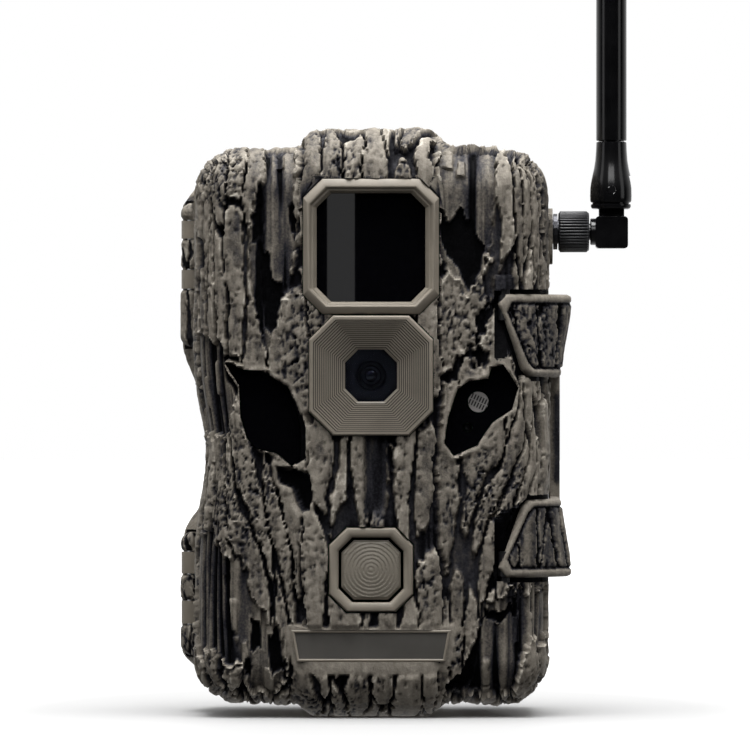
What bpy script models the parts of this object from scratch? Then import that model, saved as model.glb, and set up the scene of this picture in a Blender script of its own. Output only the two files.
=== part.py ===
"""A cellular trail camera with a bark-shaped case, as an assembly of separate parts.

The case is two shells that close on a hinge at the left. The rear housing holds the batteries and straps to a tree.
The front shell is the door: it carries the optics, the electronics, the latch and a folding antenna.

All sizes below are in millimetres, and make_object turns each finished mesh into metres.
X is to the right seen from the front, Y runs from the lens towards the tree, and Z is up.
The origin is on the flat foot of the rear housing.
"""

import math

import bmesh
import bpy
from mathutils import Matrix, Vector

MM = 0.001

# Case
HALF_WIDTH = 44.0
CASE_BOTTOM = 3.5
CASE_TOP = 142.5
CASE_MIDDLE = (CASE_BOTTOM + CASE_TOP) / 2
PARTING_Y = -12.0
FRONT_Y = PARTING_Y - 36.0
BACK_Y = PARTING_Y + 36.0
CORNER_R = 11.0
WALL = 2.5
RIM_GAP = 0.15
FIT_GAP = 0.3

# The raised band down the middle of the case, which makes the brow at the top and the foot at the bottom
SPINE_FLAT = 14.0
SPINE_EDGE = 20.0
BROW_RISE = 4.5
FOOT_DROP = CASE_BOTTOM
SPINE_PROUD = 2.0
BAND_FACE_Y = FRONT_Y - SPINE_PROUD
WAIST_DEPTH = 2.8
WAIST_Z = 66.0
WAIST_SPAN = 15.0

# Hinge
HINGE_X = -45.7
KNUCKLE_R = 2.6
KNUCKLE_RELIEF_R = KNUCKLE_R + 0.4
HINGE_PIN_R = 1.1
HINGE_BORE_R = 1.3
DOOR_KNUCKLES = ((107.75, 112.5), (120.5, 125.0), (22.5, 28.25), (35.25, 40.75))
REAR_KNUCKLES = ((93.0, 107.45), (112.8, 120.2), (125.3, 129.5), (14.5, 22.2), (28.55, 34.95), (41.05, 45.75))
HINGE_SPANS = {"hinge_pin_upper": (93.6, 129.1), "hinge_pin_lower": (15.1, 45.3)}

# Latch: a cover lever that pivots at its two front tips and folds round the corner
LATCH_TOP = 106.0
LATCH_BOTTOM = 35.0
LATCH_MIDDLE = (LATCH_TOP + LATCH_BOTTOM) / 2
BAR_TOP = 85.0
BAR_BOTTOM = 55.0
ARC_START = HALF_WIDTH - CORNER_R
ARC_END = ARC_START + CORNER_R * math.pi / 2
LATCH_END = ARC_END + 31.0
BAR_START = ARC_END + 16.0
LATCH_PIVOT_X = 33.6
LATCH_PIVOT_Y = FRONT_Y + 2.0
LATCH_BARREL_R = 2.4
LATCH_BARREL_HEIGHT = 12.6
LATCH_RELIEF_R = 3.3
LATCH_RELIEF_HEIGHT = 13.8
TRUNNION_R = 1.2
TRUNNION_LENGTH = 2.2
POCKET_GAP = 1.2

# Lens column
IR_CENTRE_Z = 118.3
LENS_CENTRE_Z = 85.6
PIR_CENTRE_Z = 37.0
BEZEL_BACK_Y = FRONT_Y + 3.5

# Antenna
PORT_Y = FRONT_Y + 22.0
PORT_Z = 122.0
PORT_FACE_X = 45.8
MAST_X = 60.8
TILT_Z = PORT_Z + 10.5
MAST_START_Z = 145.0
MAST_TOP_Z = 268.0

# Inside the door
BOARD_Y = (FRONT_Y + 18.0, FRONT_Y + 19.6)
PANEL_Y = (PARTING_Y - 3.0, PARTING_Y - 1.0)
PANEL_HALF_WIDTH = 38.2
PANEL_HALF_HEIGHT = 64.5
PANEL_CORNER_R = 8.0
RIM_DEPTH = 1.8
PANEL_SCREWS = ((-32.5, 18.0), (32.5, 18.0), (-32.5, 128.0), (32.5, 128.0))
SCREW_SHANK_R = 1.0
SCREW_HOLE_R = 1.3
POST_R = 3.0
GASKET_WIDTH = 1.8
DISPLAY_HALF = (20.0, 14.0)
DISPLAY_Z = 110.0
BUTTON_R = 3.4
BUTTON_Z = 82.0
BUTTONS = {"button_menu": -19.5, "button_up": -6.5, "button_down": 6.5, "button_ok": 19.5}
SWITCH_Z = 62.0
SWITCH_X = 15.0
SWITCH_TRAVEL = 6.0
CARD_Z = 52.0
CARD_HALF_HEIGHT = 12.0
CARD_X = (-34.0, -3.0)
USB_X = 19.0
USB_Z = 34.0

# Battery bay
CELL_R = 7.1
CELL_BODY = 49.0
CELL_NUB = 1.2
CELL_PITCH = 15.6
CELL_Y = 3.0
CELL_ROWS = (24.0, 74.6)
CHANNEL_WIDTH = 14.7
TRAY_Z = (16.6, 126.7)
TRAY_Y = (-6.0, 12.0)
TRAY_WALL = 1.4
TRAY_PLATE = 1.6

# Base and back
TRIPOD_Y = 7.5
TRIPOD_HOLE_R = 3.1
TRIPOD_INSERT_R = 4.9
JACK_X = 27.0
JACK_Y = 8.0
BRACKET_Y = BACK_Y + FIT_GAP
STRAP_PAD_Y = BRACKET_Y + 10.0
BRACKET_SCREWS_Z = (54.0, 92.0)

# Openings in the bark, as outlines in X and Z
SENSOR_OUTLINE = (
    (33.0, 88.0), (36.6, 82.5), (35.0, 77.2), (30.2, 74.0), (26.4, 68.4), (20.8, 65.8),
    (18.6, 68.8), (19.6, 75.2), (21.9, 82.0), (24.4, 83.8), (29.5, 84.6), (30.4, 87.4),
)
KNOT_OUTLINE = (
    (-36.2, 88.4), (-31.8, 86.8), (-27.3, 86.5), (-21.0, 82.5), (-19.6, 79.0), (-17.9, 72.6),
    (-17.9, 64.6), (-19.8, 63.2), (-23.6, 66.4), (-29.0, 67.6), (-30.8, 70.0), (-32.4, 75.2), (-32.8, 83.2),
)
WINDOW_Y = (FRONT_Y + 2.6, FRONT_Y + 7.0)
PHOTOCELL = (26.9, 79.0)
PHOTOCELL_R = 2.6
STATUS_LED = (24.2, 72.6)
STATUS_LED_R = 1.0

# Colours and finishes, as base colour, roughness and metallic value
FINISHES = {
    "bark_plastic": ((0.19, 0.165, 0.135), 0.7, 0.0),
    "tan_plastic": ((0.24, 0.21, 0.17), 0.55, 0.0),
    "black_plastic": ((0.012, 0.012, 0.013), 0.35, 0.0),
    "dark_window": ((0.004, 0.004, 0.006), 0.08, 0.0),
    "rubber": ((0.03, 0.03, 0.03), 0.8, 0.0),
    "steel": ((0.55, 0.55, 0.56), 0.3, 1.0),
    "brass": ((0.78, 0.57, 0.27), 0.3, 1.0),
    "circuit_board": ((0.01, 0.09, 0.04), 0.5, 0.0),
    "cell_wrap": ((0.05, 0.07, 0.11), 0.35, 0.0),
    "glass": ((0.03, 0.03, 0.05), 0.05, 0.0),
    "pale_ceramic": ((0.6, 0.5, 0.38), 0.5, 0.0),
}


# ---------------------------------------------------------------- helpers

def clear_scene():
    for existing in list(bpy.data.objects):
        bpy.data.objects.remove(existing)


def finish_of(name):
    material = bpy.data.materials.get(name)
    if material is None:
        colour, roughness, metallic = FINISHES[name]
        material = bpy.data.materials.new(name)
        material.use_nodes = True
        shader = material.node_tree.nodes["Principled BSDF"]
        shader.inputs["Base Color"].default_value = (*colour, 1.0)
        shader.inputs["Roughness"].default_value = roughness
        shader.inputs["Metallic"].default_value = metallic
    return material


def make_object(name, shape, finish, origin=(0.0, 0.0, 0.0)):
    """Turns a bmesh in case coordinates into an object whose origin is at the point given."""
    bmesh.ops.recalc_face_normals(shape, faces=shape.faces)
    shape.transform(Matrix.Translation(-Vector(origin)))
    shape.transform(Matrix.Scale(MM, 4))
    mesh = bpy.data.meshes.new(name)
    shape.to_mesh(mesh)
    shape.free()
    mesh.materials.append(finish_of(finish))
    mesh.shade_smooth()
    mesh.set_sharp_from_angle(angle=math.radians(35))
    made = bpy.data.objects.new(name, mesh)
    made.location = Vector(origin) * MM
    bpy.context.scene.collection.objects.link(made)
    return made


def apply_boolean(target, shape, operation):
    """Adds a Boolean to the target, with the shape as a hidden helper object."""
    helper = make_object(f"{target.name}_{operation.lower()}_{len(target.modifiers)}", shape, "steel")
    helper.hide_render = True
    helper.display_type = "WIRE"
    modifier = target.modifiers.new(operation.title(), "BOOLEAN")
    modifier.operation = operation
    modifier.solver = "EXACT"
    modifier.object = helper


def cut(target, shape):
    apply_boolean(target, shape, "DIFFERENCE")


def join(target, shape):
    apply_boolean(target, shape, "UNION")


def several(*shapes):
    """Separate closed shapes that don't touch, as one bmesh."""
    whole = bmesh.new()
    for shape in shapes:
        mesh = bpy.data.meshes.new("part_of_a_group")
        shape.to_mesh(mesh)
        shape.free()
        whole.from_mesh(mesh)
        bpy.data.meshes.remove(mesh)
    return whole


def loft(rings, closed=False):
    """Quads between rings of points. Open lofts get end caps, and closed ones join the last ring to the first."""
    shape = bmesh.new()
    rows = [[shape.verts.new(point) for point in ring] for ring in rings]
    count = len(rows[0])
    pairs = list(zip(rows, rows[1:]))
    if closed:
        pairs.append((rows[-1], rows[0]))
    for near, far in pairs:
        for i in range(count):
            j = (i + 1) % count
            shape.faces.new((near[i], near[j], far[j], far[i]))
    if not closed:
        shape.faces.new(rows[0])
        shape.faces.new(rows[-1])
    return shape


def box(low, high):
    corners = ((low[0], low[1]), (high[0], low[1]), (high[0], high[1]), (low[0], high[1]))
    return loft([[(x, y, z) for x, y in corners] for z in (low[2], high[2])])


def prism(outline, y_near, y_far):
    return loft([[(x, y, z) for x, z in outline] for y in (y_near, y_far)])


def turned(profile, start, axis, segments=24):
    """A solid of revolution. The profile is (radius, distance along the axis) from one end to the other."""
    spin = Vector((0, 0, 1)).rotation_difference(Vector(axis)).to_matrix()
    rings = []
    for radius, along in profile:
        ring = []
        for i in range(segments):
            angle = 2 * math.pi * (i + 0.5) / segments
            point = Vector((radius * math.cos(angle), radius * math.sin(angle), along))
            ring.append(Vector(start) + spin @ point)
        rings.append(ring)
    return loft(rings)


def rod(start, axis, length, radius, segments=24):
    return turned(((radius, 0.0), (radius, length)), start, axis, segments)


def tube(profile, start, axis, segments=24):
    """A ring-shaped solid of revolution: the profile is a closed loop of (radius, distance along the axis)."""
    spin = Vector((0, 0, 1)).rotation_difference(Vector(axis)).to_matrix()
    rings = []
    for radius, along in profile:
        ring = []
        for i in range(segments):
            angle = 2 * math.pi * (i + 0.5) / segments
            point = Vector((radius * math.cos(angle), radius * math.sin(angle), along))
            ring.append(Vector(start) + spin @ point)
        rings.append(ring)
    return loft(rings, closed=True)


def octagon(half_width, half_height, cut_size, centre=(0.0, 0.0)):
    """A rectangle with its corners cut off at 45 degrees, as points in X and Z."""
    w, h, c = half_width, half_height, cut_size
    points = ((w, -h + c), (w, h - c), (w - c, h), (-w + c, h), (-w, h - c), (-w, -h + c), (-w + c, -h), (w - c, -h))
    return [(centre[0] + x, centre[1] + z) for x, z in points]


def octagon_frame(profile, centre_z):
    """A frame round an octagonal opening. The profile is a closed loop of (half width, half height, corner cut, y)."""
    rings = []
    for half_width, half_height, cut_size, y in profile:
        rings.append([(x, y, z) for x, z in octagon(half_width, half_height, cut_size, (0.0, centre_z))])
    return loft(rings, closed=True)


def round_rectangle(half_width, half_height, radius, centre=(0.0, 0.0), steps=4):
    """A rectangle with round corners, as points in X and Z."""
    points = []
    for corner, (sx, sz) in enumerate(((1, 1), (-1, 1), (-1, -1), (1, -1))):
        for i in range(steps + 1):
            angle = math.pi / 2 * (corner + i / steps)
            x = sx * (half_width - radius) + radius * math.cos(angle)
            z = sz * (half_height - radius) + radius * math.sin(angle)
            points.append((centre[0] + x, centre[1] + z))
    return points


def grown(outline, distance):
    """The outline moved outwards by a distance, with mitred corners."""
    count = len(outline)
    area = sum(
        outline[i][0] * outline[(i + 1) % count][1] - outline[(i + 1) % count][0] * outline[i][1]
        for i in range(count)
    )
    turn = 1.0 if area > 0 else -1.0
    moved = []
    for i in range(count):
        before = (Vector(outline[i]) - Vector(outline[i - 1])).normalized()
        after = (Vector(outline[(i + 1) % count]) - Vector(outline[i])).normalized()
        out_before = Vector((before.y, -before.x)) * turn
        out_after = Vector((after.y, -after.x)) * turn
        middle = (out_before + out_after).normalized()
        reach = distance / max(0.5, middle.dot(out_after))
        moved.append(tuple(Vector(outline[i]) + middle * reach))
    return moved


def panel_outline(margin=0.0):
    """The opening that both shells share inside their rims, which the door's panel and the battery tray fill."""
    width, height, radius = (size + margin for size in (PANEL_HALF_WIDTH, PANEL_HALF_HEIGHT, PANEL_CORNER_R))
    return round_rectangle(width, height, radius, (0.0, CASE_MIDDLE))


def smooth_step(low, high, value):
    t = min(1.0, max(0.0, (value - low) / (high - low)))
    return t * t * (3 - 2 * t)


# ---------------------------------------------------------------- the case

def case_form(x, y, z):
    """Bends the plain rounded box into the case: the waist at the hinge side, the brow, the foot and the raised band."""
    if x < 0:
        x *= 1 - WAIST_DEPTH / HALF_WIDTH * math.exp(-(((z - WAIST_Z) / WAIST_SPAN) ** 2))
    band = 1 - smooth_step(SPINE_FLAT, SPINE_EDGE, abs(x))
    above = max(0.0, (z - CASE_MIDDLE) / (CASE_TOP - CASE_MIDDLE))
    below = max(0.0, (CASE_MIDDLE - z) / (CASE_MIDDLE - CASE_BOTTOM))
    forward = max(0.0, (PARTING_Y - y) / (PARTING_Y - FRONT_Y))
    return (
        x,
        y - SPINE_PROUD * band * forward**2,
        z + band * (BROW_RISE * above**4 - FOOT_DROP * below**4),
    )


def corner_lines(low, high, radius, between):
    """Grid lines across a face: close together over each rounded edge, then the ones in between."""
    near_edge = (0.0, 0.586 * radius, radius)
    lines = {low + d for d in near_edge} | {high - d for d in near_edge}
    lines |= {value for value in between if low + radius < value < high - radius}
    return sorted(lines)


def rounded_case(face_y, open_y, inset):
    """One half of the case as a closed solid: a box with round edges, flat where it meets the other half."""
    radius = CORNER_R - inset
    half_width = HALF_WIDTH - inset
    low_z, high_z = CASE_BOTTOM + inset, CASE_TOP - inset
    inward = 1.0 if open_y > face_y else -1.0
    face_y += inward * inset
    xs = corner_lines(-half_width, half_width, radius, (-20, -17, -14, 0, 14, 17, 20))
    zs = corner_lines(low_z, high_z, radius, (26, 40, 53, 66, 79, 92, 106, 119))
    ys = [face_y, face_y + inward * 0.586 * radius, face_y + inward * radius, open_y]
    shape = bmesh.new()
    placed = {}

    def vertex(x, y, z):
        key = (round(x, 4), round(y, 4), round(z, 4))
        if key not in placed:
            core = Vector((
                min(half_width - radius, max(-half_width + radius, x)),
                face_y + inward * max(radius, abs(y - face_y)),
                min(high_z - radius, max(low_z + radius, z)),
            ))
            away = Vector((x, y, z)) - core
            placed[key] = shape.verts.new(case_form(*(core + away.normalized() * radius)))
        return placed[key]

    def patch(us, vs, point):
        for u0, u1 in zip(us, us[1:]):
            for v0, v1 in zip(vs, vs[1:]):
                corners = [point(u0, v0), point(u1, v0), point(u1, v1), point(u0, v1)]
                shape.faces.new([vertex(*corner) for corner in corners])

    patch(xs, zs, lambda x, z: (x, face_y, z))
    for side in (-half_width, half_width):
        patch(ys, zs, lambda y, z, side=side: (side, y, z))
    for end in (low_z, high_z):
        patch(xs, ys, lambda x, y, end=end: (x, y, end))
    rim = [(x, low_z) for x in xs[:-1]] + [(half_width, z) for z in zs[:-1]]
    rim += [(x, high_z) for x in reversed(xs[1:])] + [(-half_width, z) for z in reversed(zs[1:])]
    shape.faces.new([vertex(x, open_y, z) for x, z in rim])
    return shape


def knuckles(spans, side_y):
    """Hinge knuckles on the pin's axis, each with a web that reaches into the case wall."""
    shapes = []
    for low, high in spans:
        outline = [(HINGE_X, PARTING_Y + side_y * KNUCKLE_R), (-HALF_WIDTH + 1.6, PARTING_Y + side_y * KNUCKLE_R)]
        outline += [(-HALF_WIDTH + 1.6, PARTING_Y + side_y * 0.3), (HINGE_X + KNUCKLE_R * 0.9, PARTING_Y + side_y * 0.3)]
        for i in range(10):
            angle = -side_y * math.pi * (1 / 9 + 1.39 * i / 9)
            outline.append((HINGE_X + KNUCKLE_R * math.cos(angle), PARTING_Y + KNUCKLE_R * math.sin(angle)))
        shapes.append(loft([[(x, y, z) for x, y in outline] for z in (low, high)]))
    return several(*shapes)


def hinge_relief():
    """Room in a case wall for the other half's knuckles."""
    return several(
        *[rod((HINGE_X, PARTING_Y, low - 0.6), (0, 0, 1), high - low + 1.2, KNUCKLE_RELIEF_R, 16)
          for low, high in ((93.0, 129.5), (14.5, 45.75))]
    )


def hinge_bores():
    return several(
        *[rod((HINGE_X, PARTING_Y, low), (0, 0, 1), high - low, HINGE_BORE_R, 12)
          for low, high in ((90.0, 132.0), (12.0, 48.0))]
    )


def latch_outline():
    """The latch laid flat: distance round the case from its middle, and height. Two wings joined by a grip bar."""
    return [
        (33.8, LATCH_TOP), (LATCH_END, LATCH_TOP), (LATCH_END, LATCH_BOTTOM), (33.8, LATCH_BOTTOM),
        (31.8, LATCH_BOTTOM + 2.5), (38.4, 52.8), (40.4, 54.4), (BAR_START, BAR_BOTTOM),
        (BAR_START, BAR_TOP), (40.4, BAR_TOP + 0.4), (38.4, 87.0), (31.8, LATCH_TOP - 2.5),
    ]


def latch_offsets(round_case, z):
    """How far the latch's inner and outer faces stand from the case: sunk in at the front, and proud at the side."""
    side = smooth_step(ARC_START + 11.0, ARC_END + 4.0, round_case)
    flare = 2.6 * smooth_step(15.0, 35.5, abs(z - LATCH_MIDDLE))
    rise = 0.75 * smooth_step(ARC_START + 5.0, ARC_START + 8.5, round_case)
    return -1.6 + side * 2.9, 0.25 + rise + side * (2.9 + flare)


def on_case(round_case, z, offset):
    """The point at a distance round the case from the middle of its front, and a height off its face."""
    if round_case <= ARC_START:
        return (round_case, FRONT_Y - offset, z)
    if round_case < ARC_END:
        angle = (round_case - ARC_START) / CORNER_R
        reach = CORNER_R + offset
        return (ARC_START + reach * math.sin(angle), FRONT_Y + CORNER_R - reach * math.cos(angle), z)
    return (HALF_WIDTH + offset, FRONT_Y + CORNER_R + round_case - ARC_END, z)


def wrapped(outline, offsets):
    """An outline laid flat, given thickness, then wrapped round the corner of the case."""
    shape = loft([[(s, z, side) for s, z in outline] for side in (0.0, 1.0)])
    cuts = [ARC_START + i * (ARC_END - ARC_START) / 6 for i in range(7)] + [ARC_END + 4.0]
    low, high = min(s for s, z in outline), max(s for s, z in outline)
    for s in cuts:
        if low + 0.05 < s < high - 0.05:
            everything = shape.verts[:] + shape.edges[:] + shape.faces[:]
            bmesh.ops.bisect_plane(shape, geom=everything, plane_co=(s, 0, 0), plane_no=(1, 0, 0))
    for z in (44.0, 96.0):
        everything = shape.verts[:] + shape.edges[:] + shape.faces[:]
        bmesh.ops.bisect_plane(shape, geom=everything, plane_co=(0, z, 0), plane_no=(0, 1, 0))
    bmesh.ops.triangulate(shape, faces=shape.faces)
    for vertex in shape.verts:
        s, z, side = vertex.co
        inner, outer = offsets(s, z)
        vertex.co = on_case(s, z, inner + side * (outer - inner))
    return shape


def pocket_offsets(round_case, z):
    return latch_offsets(round_case, z)[0] - 0.5, 14.0


def latch_rods(radius, z_low, z_high):
    """A rod at each of the latch's two pivots, from and to distances measured from its ends towards its middle."""
    upper = rod((LATCH_PIVOT_X, LATCH_PIVOT_Y, LATCH_TOP - z_high), (0, 0, 1), z_high - z_low, radius, 16)
    lower = rod((LATCH_PIVOT_X, LATCH_PIVOT_Y, LATCH_BOTTOM + z_low), (0, 0, 1), z_high - z_low, radius, 16)
    return several(upper, lower)


def build_front_shell():
    shell = make_object("front_shell", rounded_case(FRONT_Y, PARTING_Y - RIM_GAP, 0.0), "bark_plastic")
    cut(shell, rounded_case(FRONT_Y, PANEL_Y[0] - RIM_DEPTH, WALL))
    cut(shell, prism(panel_outline(FIT_GAP), PANEL_Y[0] - RIM_DEPTH - 1.0, PARTING_Y + 4.0))
    posts = [rod((x, FRONT_Y + 1.2, z), (0, 1, 0), PANEL_Y[0] - FRONT_Y - 1.5, POST_R, 12) for x, z in PANEL_SCREWS]
    join(shell, several(*posts))
    backing = [[(27.0, low), (52.0, low), (52.0, high), (27.0, high)] for low, high in ((30.0, 58.0), (83.0, 111.0))]
    join(shell, several(*[wrapped(outline, lambda s, z: (-6.6, -1.2)) for outline in backing]))
    cut(shell, wrapped(grown(latch_outline(), POCKET_GAP), pocket_offsets))
    cut(shell, latch_rods(LATCH_RELIEF_R, -POCKET_GAP, LATCH_RELIEF_HEIGHT))
    cut(shell, latch_rods(TRUNNION_R + 0.25, -TRUNNION_LENGTH - 0.4, 1.0))
    cut(shell, hinge_relief())
    join(shell, knuckles(DOOR_KNUCKLES, -1.0))
    cut(shell, hinge_bores())
    port_pad = round_rectangle(7.5, 7.0, 3.5, (PORT_Y, PORT_Z - 1.2))
    join(shell, loft([[(x, y, z) for y, z in port_pad] for x in (HALF_WIDTH - 1.5, PORT_FACE_X)]))
    cut(shell, rod((HALF_WIDTH - 6.0, PORT_Y, PORT_Z), (1, 0, 0), 12.0, 3.45))
    cut(shell, prism(octagon(17.3, 16.8, 5.0, (0.0, IR_CENTRE_Z)), BAND_FACE_Y - 6.0, BEZEL_BACK_Y + 2.0))
    cut(shell, prism(octagon(15.8, 15.3, 6.0, (0.0, LENS_CENTRE_Z)), BAND_FACE_Y - 6.0, BEZEL_BACK_Y + 2.0))
    cut(shell, prism(octagon(10.8, 10.8, 4.5, (0.0, PIR_CENTRE_Z)), BAND_FACE_Y - 6.0, BEZEL_BACK_Y + 2.0))
    cut(shell, prism(grown(SENSOR_OUTLINE, FIT_GAP), FRONT_Y - 3.0, FRONT_Y + 8.0))
    cut(shell, prism(grown(KNOT_OUTLINE, FIT_GAP), FRONT_Y - 3.0, FRONT_Y + 8.0))
    plate = [(-20.0, 22.0), (20.0, 22.0), (18.6, 14.0), (-18.6, 14.0)]
    cut(shell, prism(plate, BAND_FACE_Y - 4.0, BAND_FACE_Y + 0.8))
    screw_holes = [rod((x, PANEL_Y[0] - 8.0, z), (0, 1, 0), 12.0, SCREW_HOLE_R, 12) for x, z in PANEL_SCREWS]
    cut(shell, several(*screw_holes))
    shell.location = (HINGE_X * MM, PARTING_Y * MM, 0.0)
    shift_mesh(shell)


def shift_mesh(target):
    """Moves the mesh back by the object's location, so that the object's origin moves and its shape doesn't."""
    target.data.transform(Matrix.Translation(-target.location))


def build_rear_housing():
    housing = make_object("rear_housing", rounded_case(BACK_Y, PARTING_Y + RIM_GAP, 0.0), "bark_plastic")
    rim_y = TRAY_Y[0] + TRAY_PLATE + FIT_GAP
    cut(housing, rounded_case(BACK_Y, rim_y - 0.5, WALL))
    cut(housing, prism(panel_outline(FIT_GAP), PARTING_Y - 4.0, rim_y))
    posts = [rod((x, TRAY_Y[1] + FIT_GAP, z), (0, 1, 0), BACK_Y - TRAY_Y[1] - 1.6, POST_R, 12)
             for x in (-24.0, 24.0) for z in (30.0, 112.0)]
    join(housing, several(*posts))
    bosses = [rod((0.0, 13.0, z), (0, 1, 0), BACK_Y - 14.2, 3.2, 12) for z in BRACKET_SCREWS_Z]
    join(housing, several(*bosses))
    join(housing, rod((0.0, TRIPOD_Y, 1.2), (0, 0, 1), 11.0, TRIPOD_INSERT_R + 2.2))
    cut(housing, rod((0.0, TRIPOD_Y, -2.0), (0, 0, 1), 12.6, TRIPOD_INSERT_R + FIT_GAP))
    cut(housing, rod((JACK_X, JACK_Y, -2.0), (0, 0, 1), 12.0, 3.4))
    cut(housing, several(*[rod((0.0, 15.0, z), (0, 1, 0), 14.0, SCREW_HOLE_R + 0.3, 12) for z in BRACKET_SCREWS_Z]))
    cut(housing, hinge_relief())
    join(housing, knuckles(REAR_KNUCKLES, 1.0))
    cut(housing, hinge_bores())
    catch = [(HALF_WIDTH - 1.5, PARTING_Y + 2.0), (HALF_WIDTH + 0.9, PARTING_Y + 2.6),
             (HALF_WIDTH + 0.9, PARTING_Y + 4.0), (HALF_WIDTH - 1.5, PARTING_Y + 5.4)]
    join(housing, loft([[(x, y, z) for x, y in catch] for z in (BAR_BOTTOM + 2.0, BAR_TOP - 2.0)]))


def build_hinge_pins():
    for name, (low, high) in HINGE_SPANS.items():
        profile = ((HINGE_PIN_R - 0.3, 0.0), (HINGE_PIN_R, 0.3), (HINGE_PIN_R, high - low - 0.3),
                   (HINGE_PIN_R - 0.3, high - low))
        make_object(name, turned(profile, (HINGE_X, PARTING_Y, low), (0, 0, 1), 12), "steel")


def build_latch():
    pivot = (LATCH_PIVOT_X, LATCH_PIVOT_Y, LATCH_MIDDLE)
    lever = make_object("latch_lever", wrapped(latch_outline(), latch_offsets), "tan_plastic")
    join(lever, latch_rods(LATCH_BARREL_R, 0.3, LATCH_BARREL_HEIGHT))
    join(lever, latch_rods(TRUNNION_R, -TRUNNION_LENGTH, 1.6))
    lever.location = Vector(pivot) * MM
    shift_mesh(lever)


# ---------------------------------------------------------------- the lens column

def build_ir_group():
    face = BAND_FACE_Y - 1.3
    seat = FRONT_Y + 0.7
    profile = (
        (17.0, 16.5, 5.0, BEZEL_BACK_Y), (17.0, 16.5, 5.0, face + 0.8), (16.2, 15.7, 4.8, face),
        (14.8, 14.9, 4.2, face + 0.2), (13.5, 13.75, 3.7, face + 1.6), (13.5, 13.75, 3.7, seat),
        (15.4, 15.3, 4.2, seat), (15.4, 15.3, 4.2, BEZEL_BACK_Y),
    )
    make_object("ir_bezel", octagon_frame(profile, IR_CENTRE_Z), "tan_plastic")
    window = octagon(15.1, 15.0, 4.1, (0.0, IR_CENTRE_Z))
    make_object("ir_window", prism(window, seat + FIT_GAP, seat + 2.1), "dark_window")
    board_y = FRONT_Y + 6.0
    plate = box((-13.0, board_y, IR_CENTRE_Z - 13.0), (13.0, board_y + 1.6, IR_CENTRE_Z + 13.0))
    board = make_object("ir_led_board", plate, "circuit_board")
    pitch = 6.0
    leds = []
    for column in range(4):
        for row in range(4):
            centre = ((column - 1.5) * pitch, board_y + 0.5, IR_CENTRE_Z + (row - 1.5) * pitch)
            leds.append(turned(((1.5, 0.0), (1.5, 1.8), (0.8, 2.6)), centre, (0, -1, 0), 8))
    join(board, several(*leds))


def build_lens_group():
    face = BAND_FACE_Y - 1.8
    seat = FRONT_Y + 0.4
    profile = (
        (15.5, 15.0, 6.0, BEZEL_BACK_Y), (15.5, 15.0, 6.0, face + 0.5), (14.9, 14.4, 5.8, face),
        (13.9, 13.4, 5.5, face + 0.1), (6.6, 6.6, 3.3, seat - 0.6), (6.5, 6.5, 3.3, seat),
        (8.3, 8.3, 3.6, seat), (8.3, 8.3, 3.6, BEZEL_BACK_Y),
    )
    make_object("lens_bezel", octagon_frame(profile, LENS_CENTRE_Z), "tan_plastic")
    window = octagon(8.0, 8.0, 3.5, (0.0, LENS_CENTRE_Z))
    make_object("lens_window", prism(window, seat + FIT_GAP, seat + 1.8), "glass")
    barrel_y = FRONT_Y + 4.0
    glass_r = 3.0
    barrel = ((5.4, BOARD_Y[0] - barrel_y - FIT_GAP), (5.4, 2.5), (4.6, 0.0), (glass_r + FIT_GAP, 0.0),
              (glass_r + FIT_GAP, 4.0), (1.5, 4.0), (1.5, BOARD_Y[0] - barrel_y - FIT_GAP))
    make_object("lens_barrel", tube(barrel, (0.0, barrel_y, LENS_CENTRE_Z), (0, 1, 0)), "black_plastic")
    dome = ((glass_r, 3.6), (glass_r, 1.4), (2.2, 0.7), (1.0, 0.4))
    make_object("lens_glass", turned(dome, (0.0, barrel_y, LENS_CENTRE_Z), (0, 1, 0)), "glass")


def build_pir_group():
    face = BAND_FACE_Y - 0.5
    seat = FRONT_Y + 0.6
    profile = (
        (10.5, 10.5, 4.4, BEZEL_BACK_Y), (10.5, 10.5, 4.4, face + 0.4), (10.1, 10.1, 4.2, face),
        (8.4, 8.4, 3.5, face), (8.1, 8.1, 3.4, face + 0.4), (8.1, 8.1, 3.4, BEZEL_BACK_Y),
    )
    make_object("pir_frame", octagon_frame(profile, PIR_CENTRE_Z), "tan_plastic")
    lens = [[(x, y, z) for x, z in octagon(half, half, half * 0.42, (0.0, PIR_CENTRE_Z))]
            for half, y in ((7.4, BEZEL_BACK_Y - 0.8), (7.4, face + 0.9), (6.6, face + 0.3))]
    make_object("pir_lens", loft(lens), "tan_plastic")
    can = ((5.0, 0.0), (5.0, 0.5), (4.4, 0.5), (4.4, 3.6), (4.0, 4.0))
    make_object("pir_sensor", turned(can, (0.0, BOARD_Y[0] - FIT_GAP, PIR_CENTRE_Z), (0, -1, 0), 20), "steel")


def build_side_windows():
    window = make_object("sensor_window", prism(SENSOR_OUTLINE, *WINDOW_Y), "dark_window")
    holes = [rod((x, WINDOW_Y[0] - 1.0, z), (0, 1, 0), 8.0, radius + FIT_GAP, 20)
             for (x, z), radius in ((PHOTOCELL, PHOTOCELL_R), (STATUS_LED, STATUS_LED_R))]
    cut(window, several(*holes))
    make_object("knot_window", prism(KNOT_OUTLINE, *WINDOW_Y), "dark_window")
    cell = (PHOTOCELL[0], WINDOW_Y[0] + 0.4, PHOTOCELL[1])
    make_object("photocell", rod(cell, (0, 1, 0), 2.2, PHOTOCELL_R, 20), "pale_ceramic")
    dome = ((0.5, 0.0), (STATUS_LED_R, 0.5), (STATUS_LED_R, 3.6))
    make_object("status_led", turned(dome, (STATUS_LED[0], WINDOW_Y[0] + 0.2, STATUS_LED[1]), (0, 1, 0), 16), "glass")


# ---------------------------------------------------------------- inside the door

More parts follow.
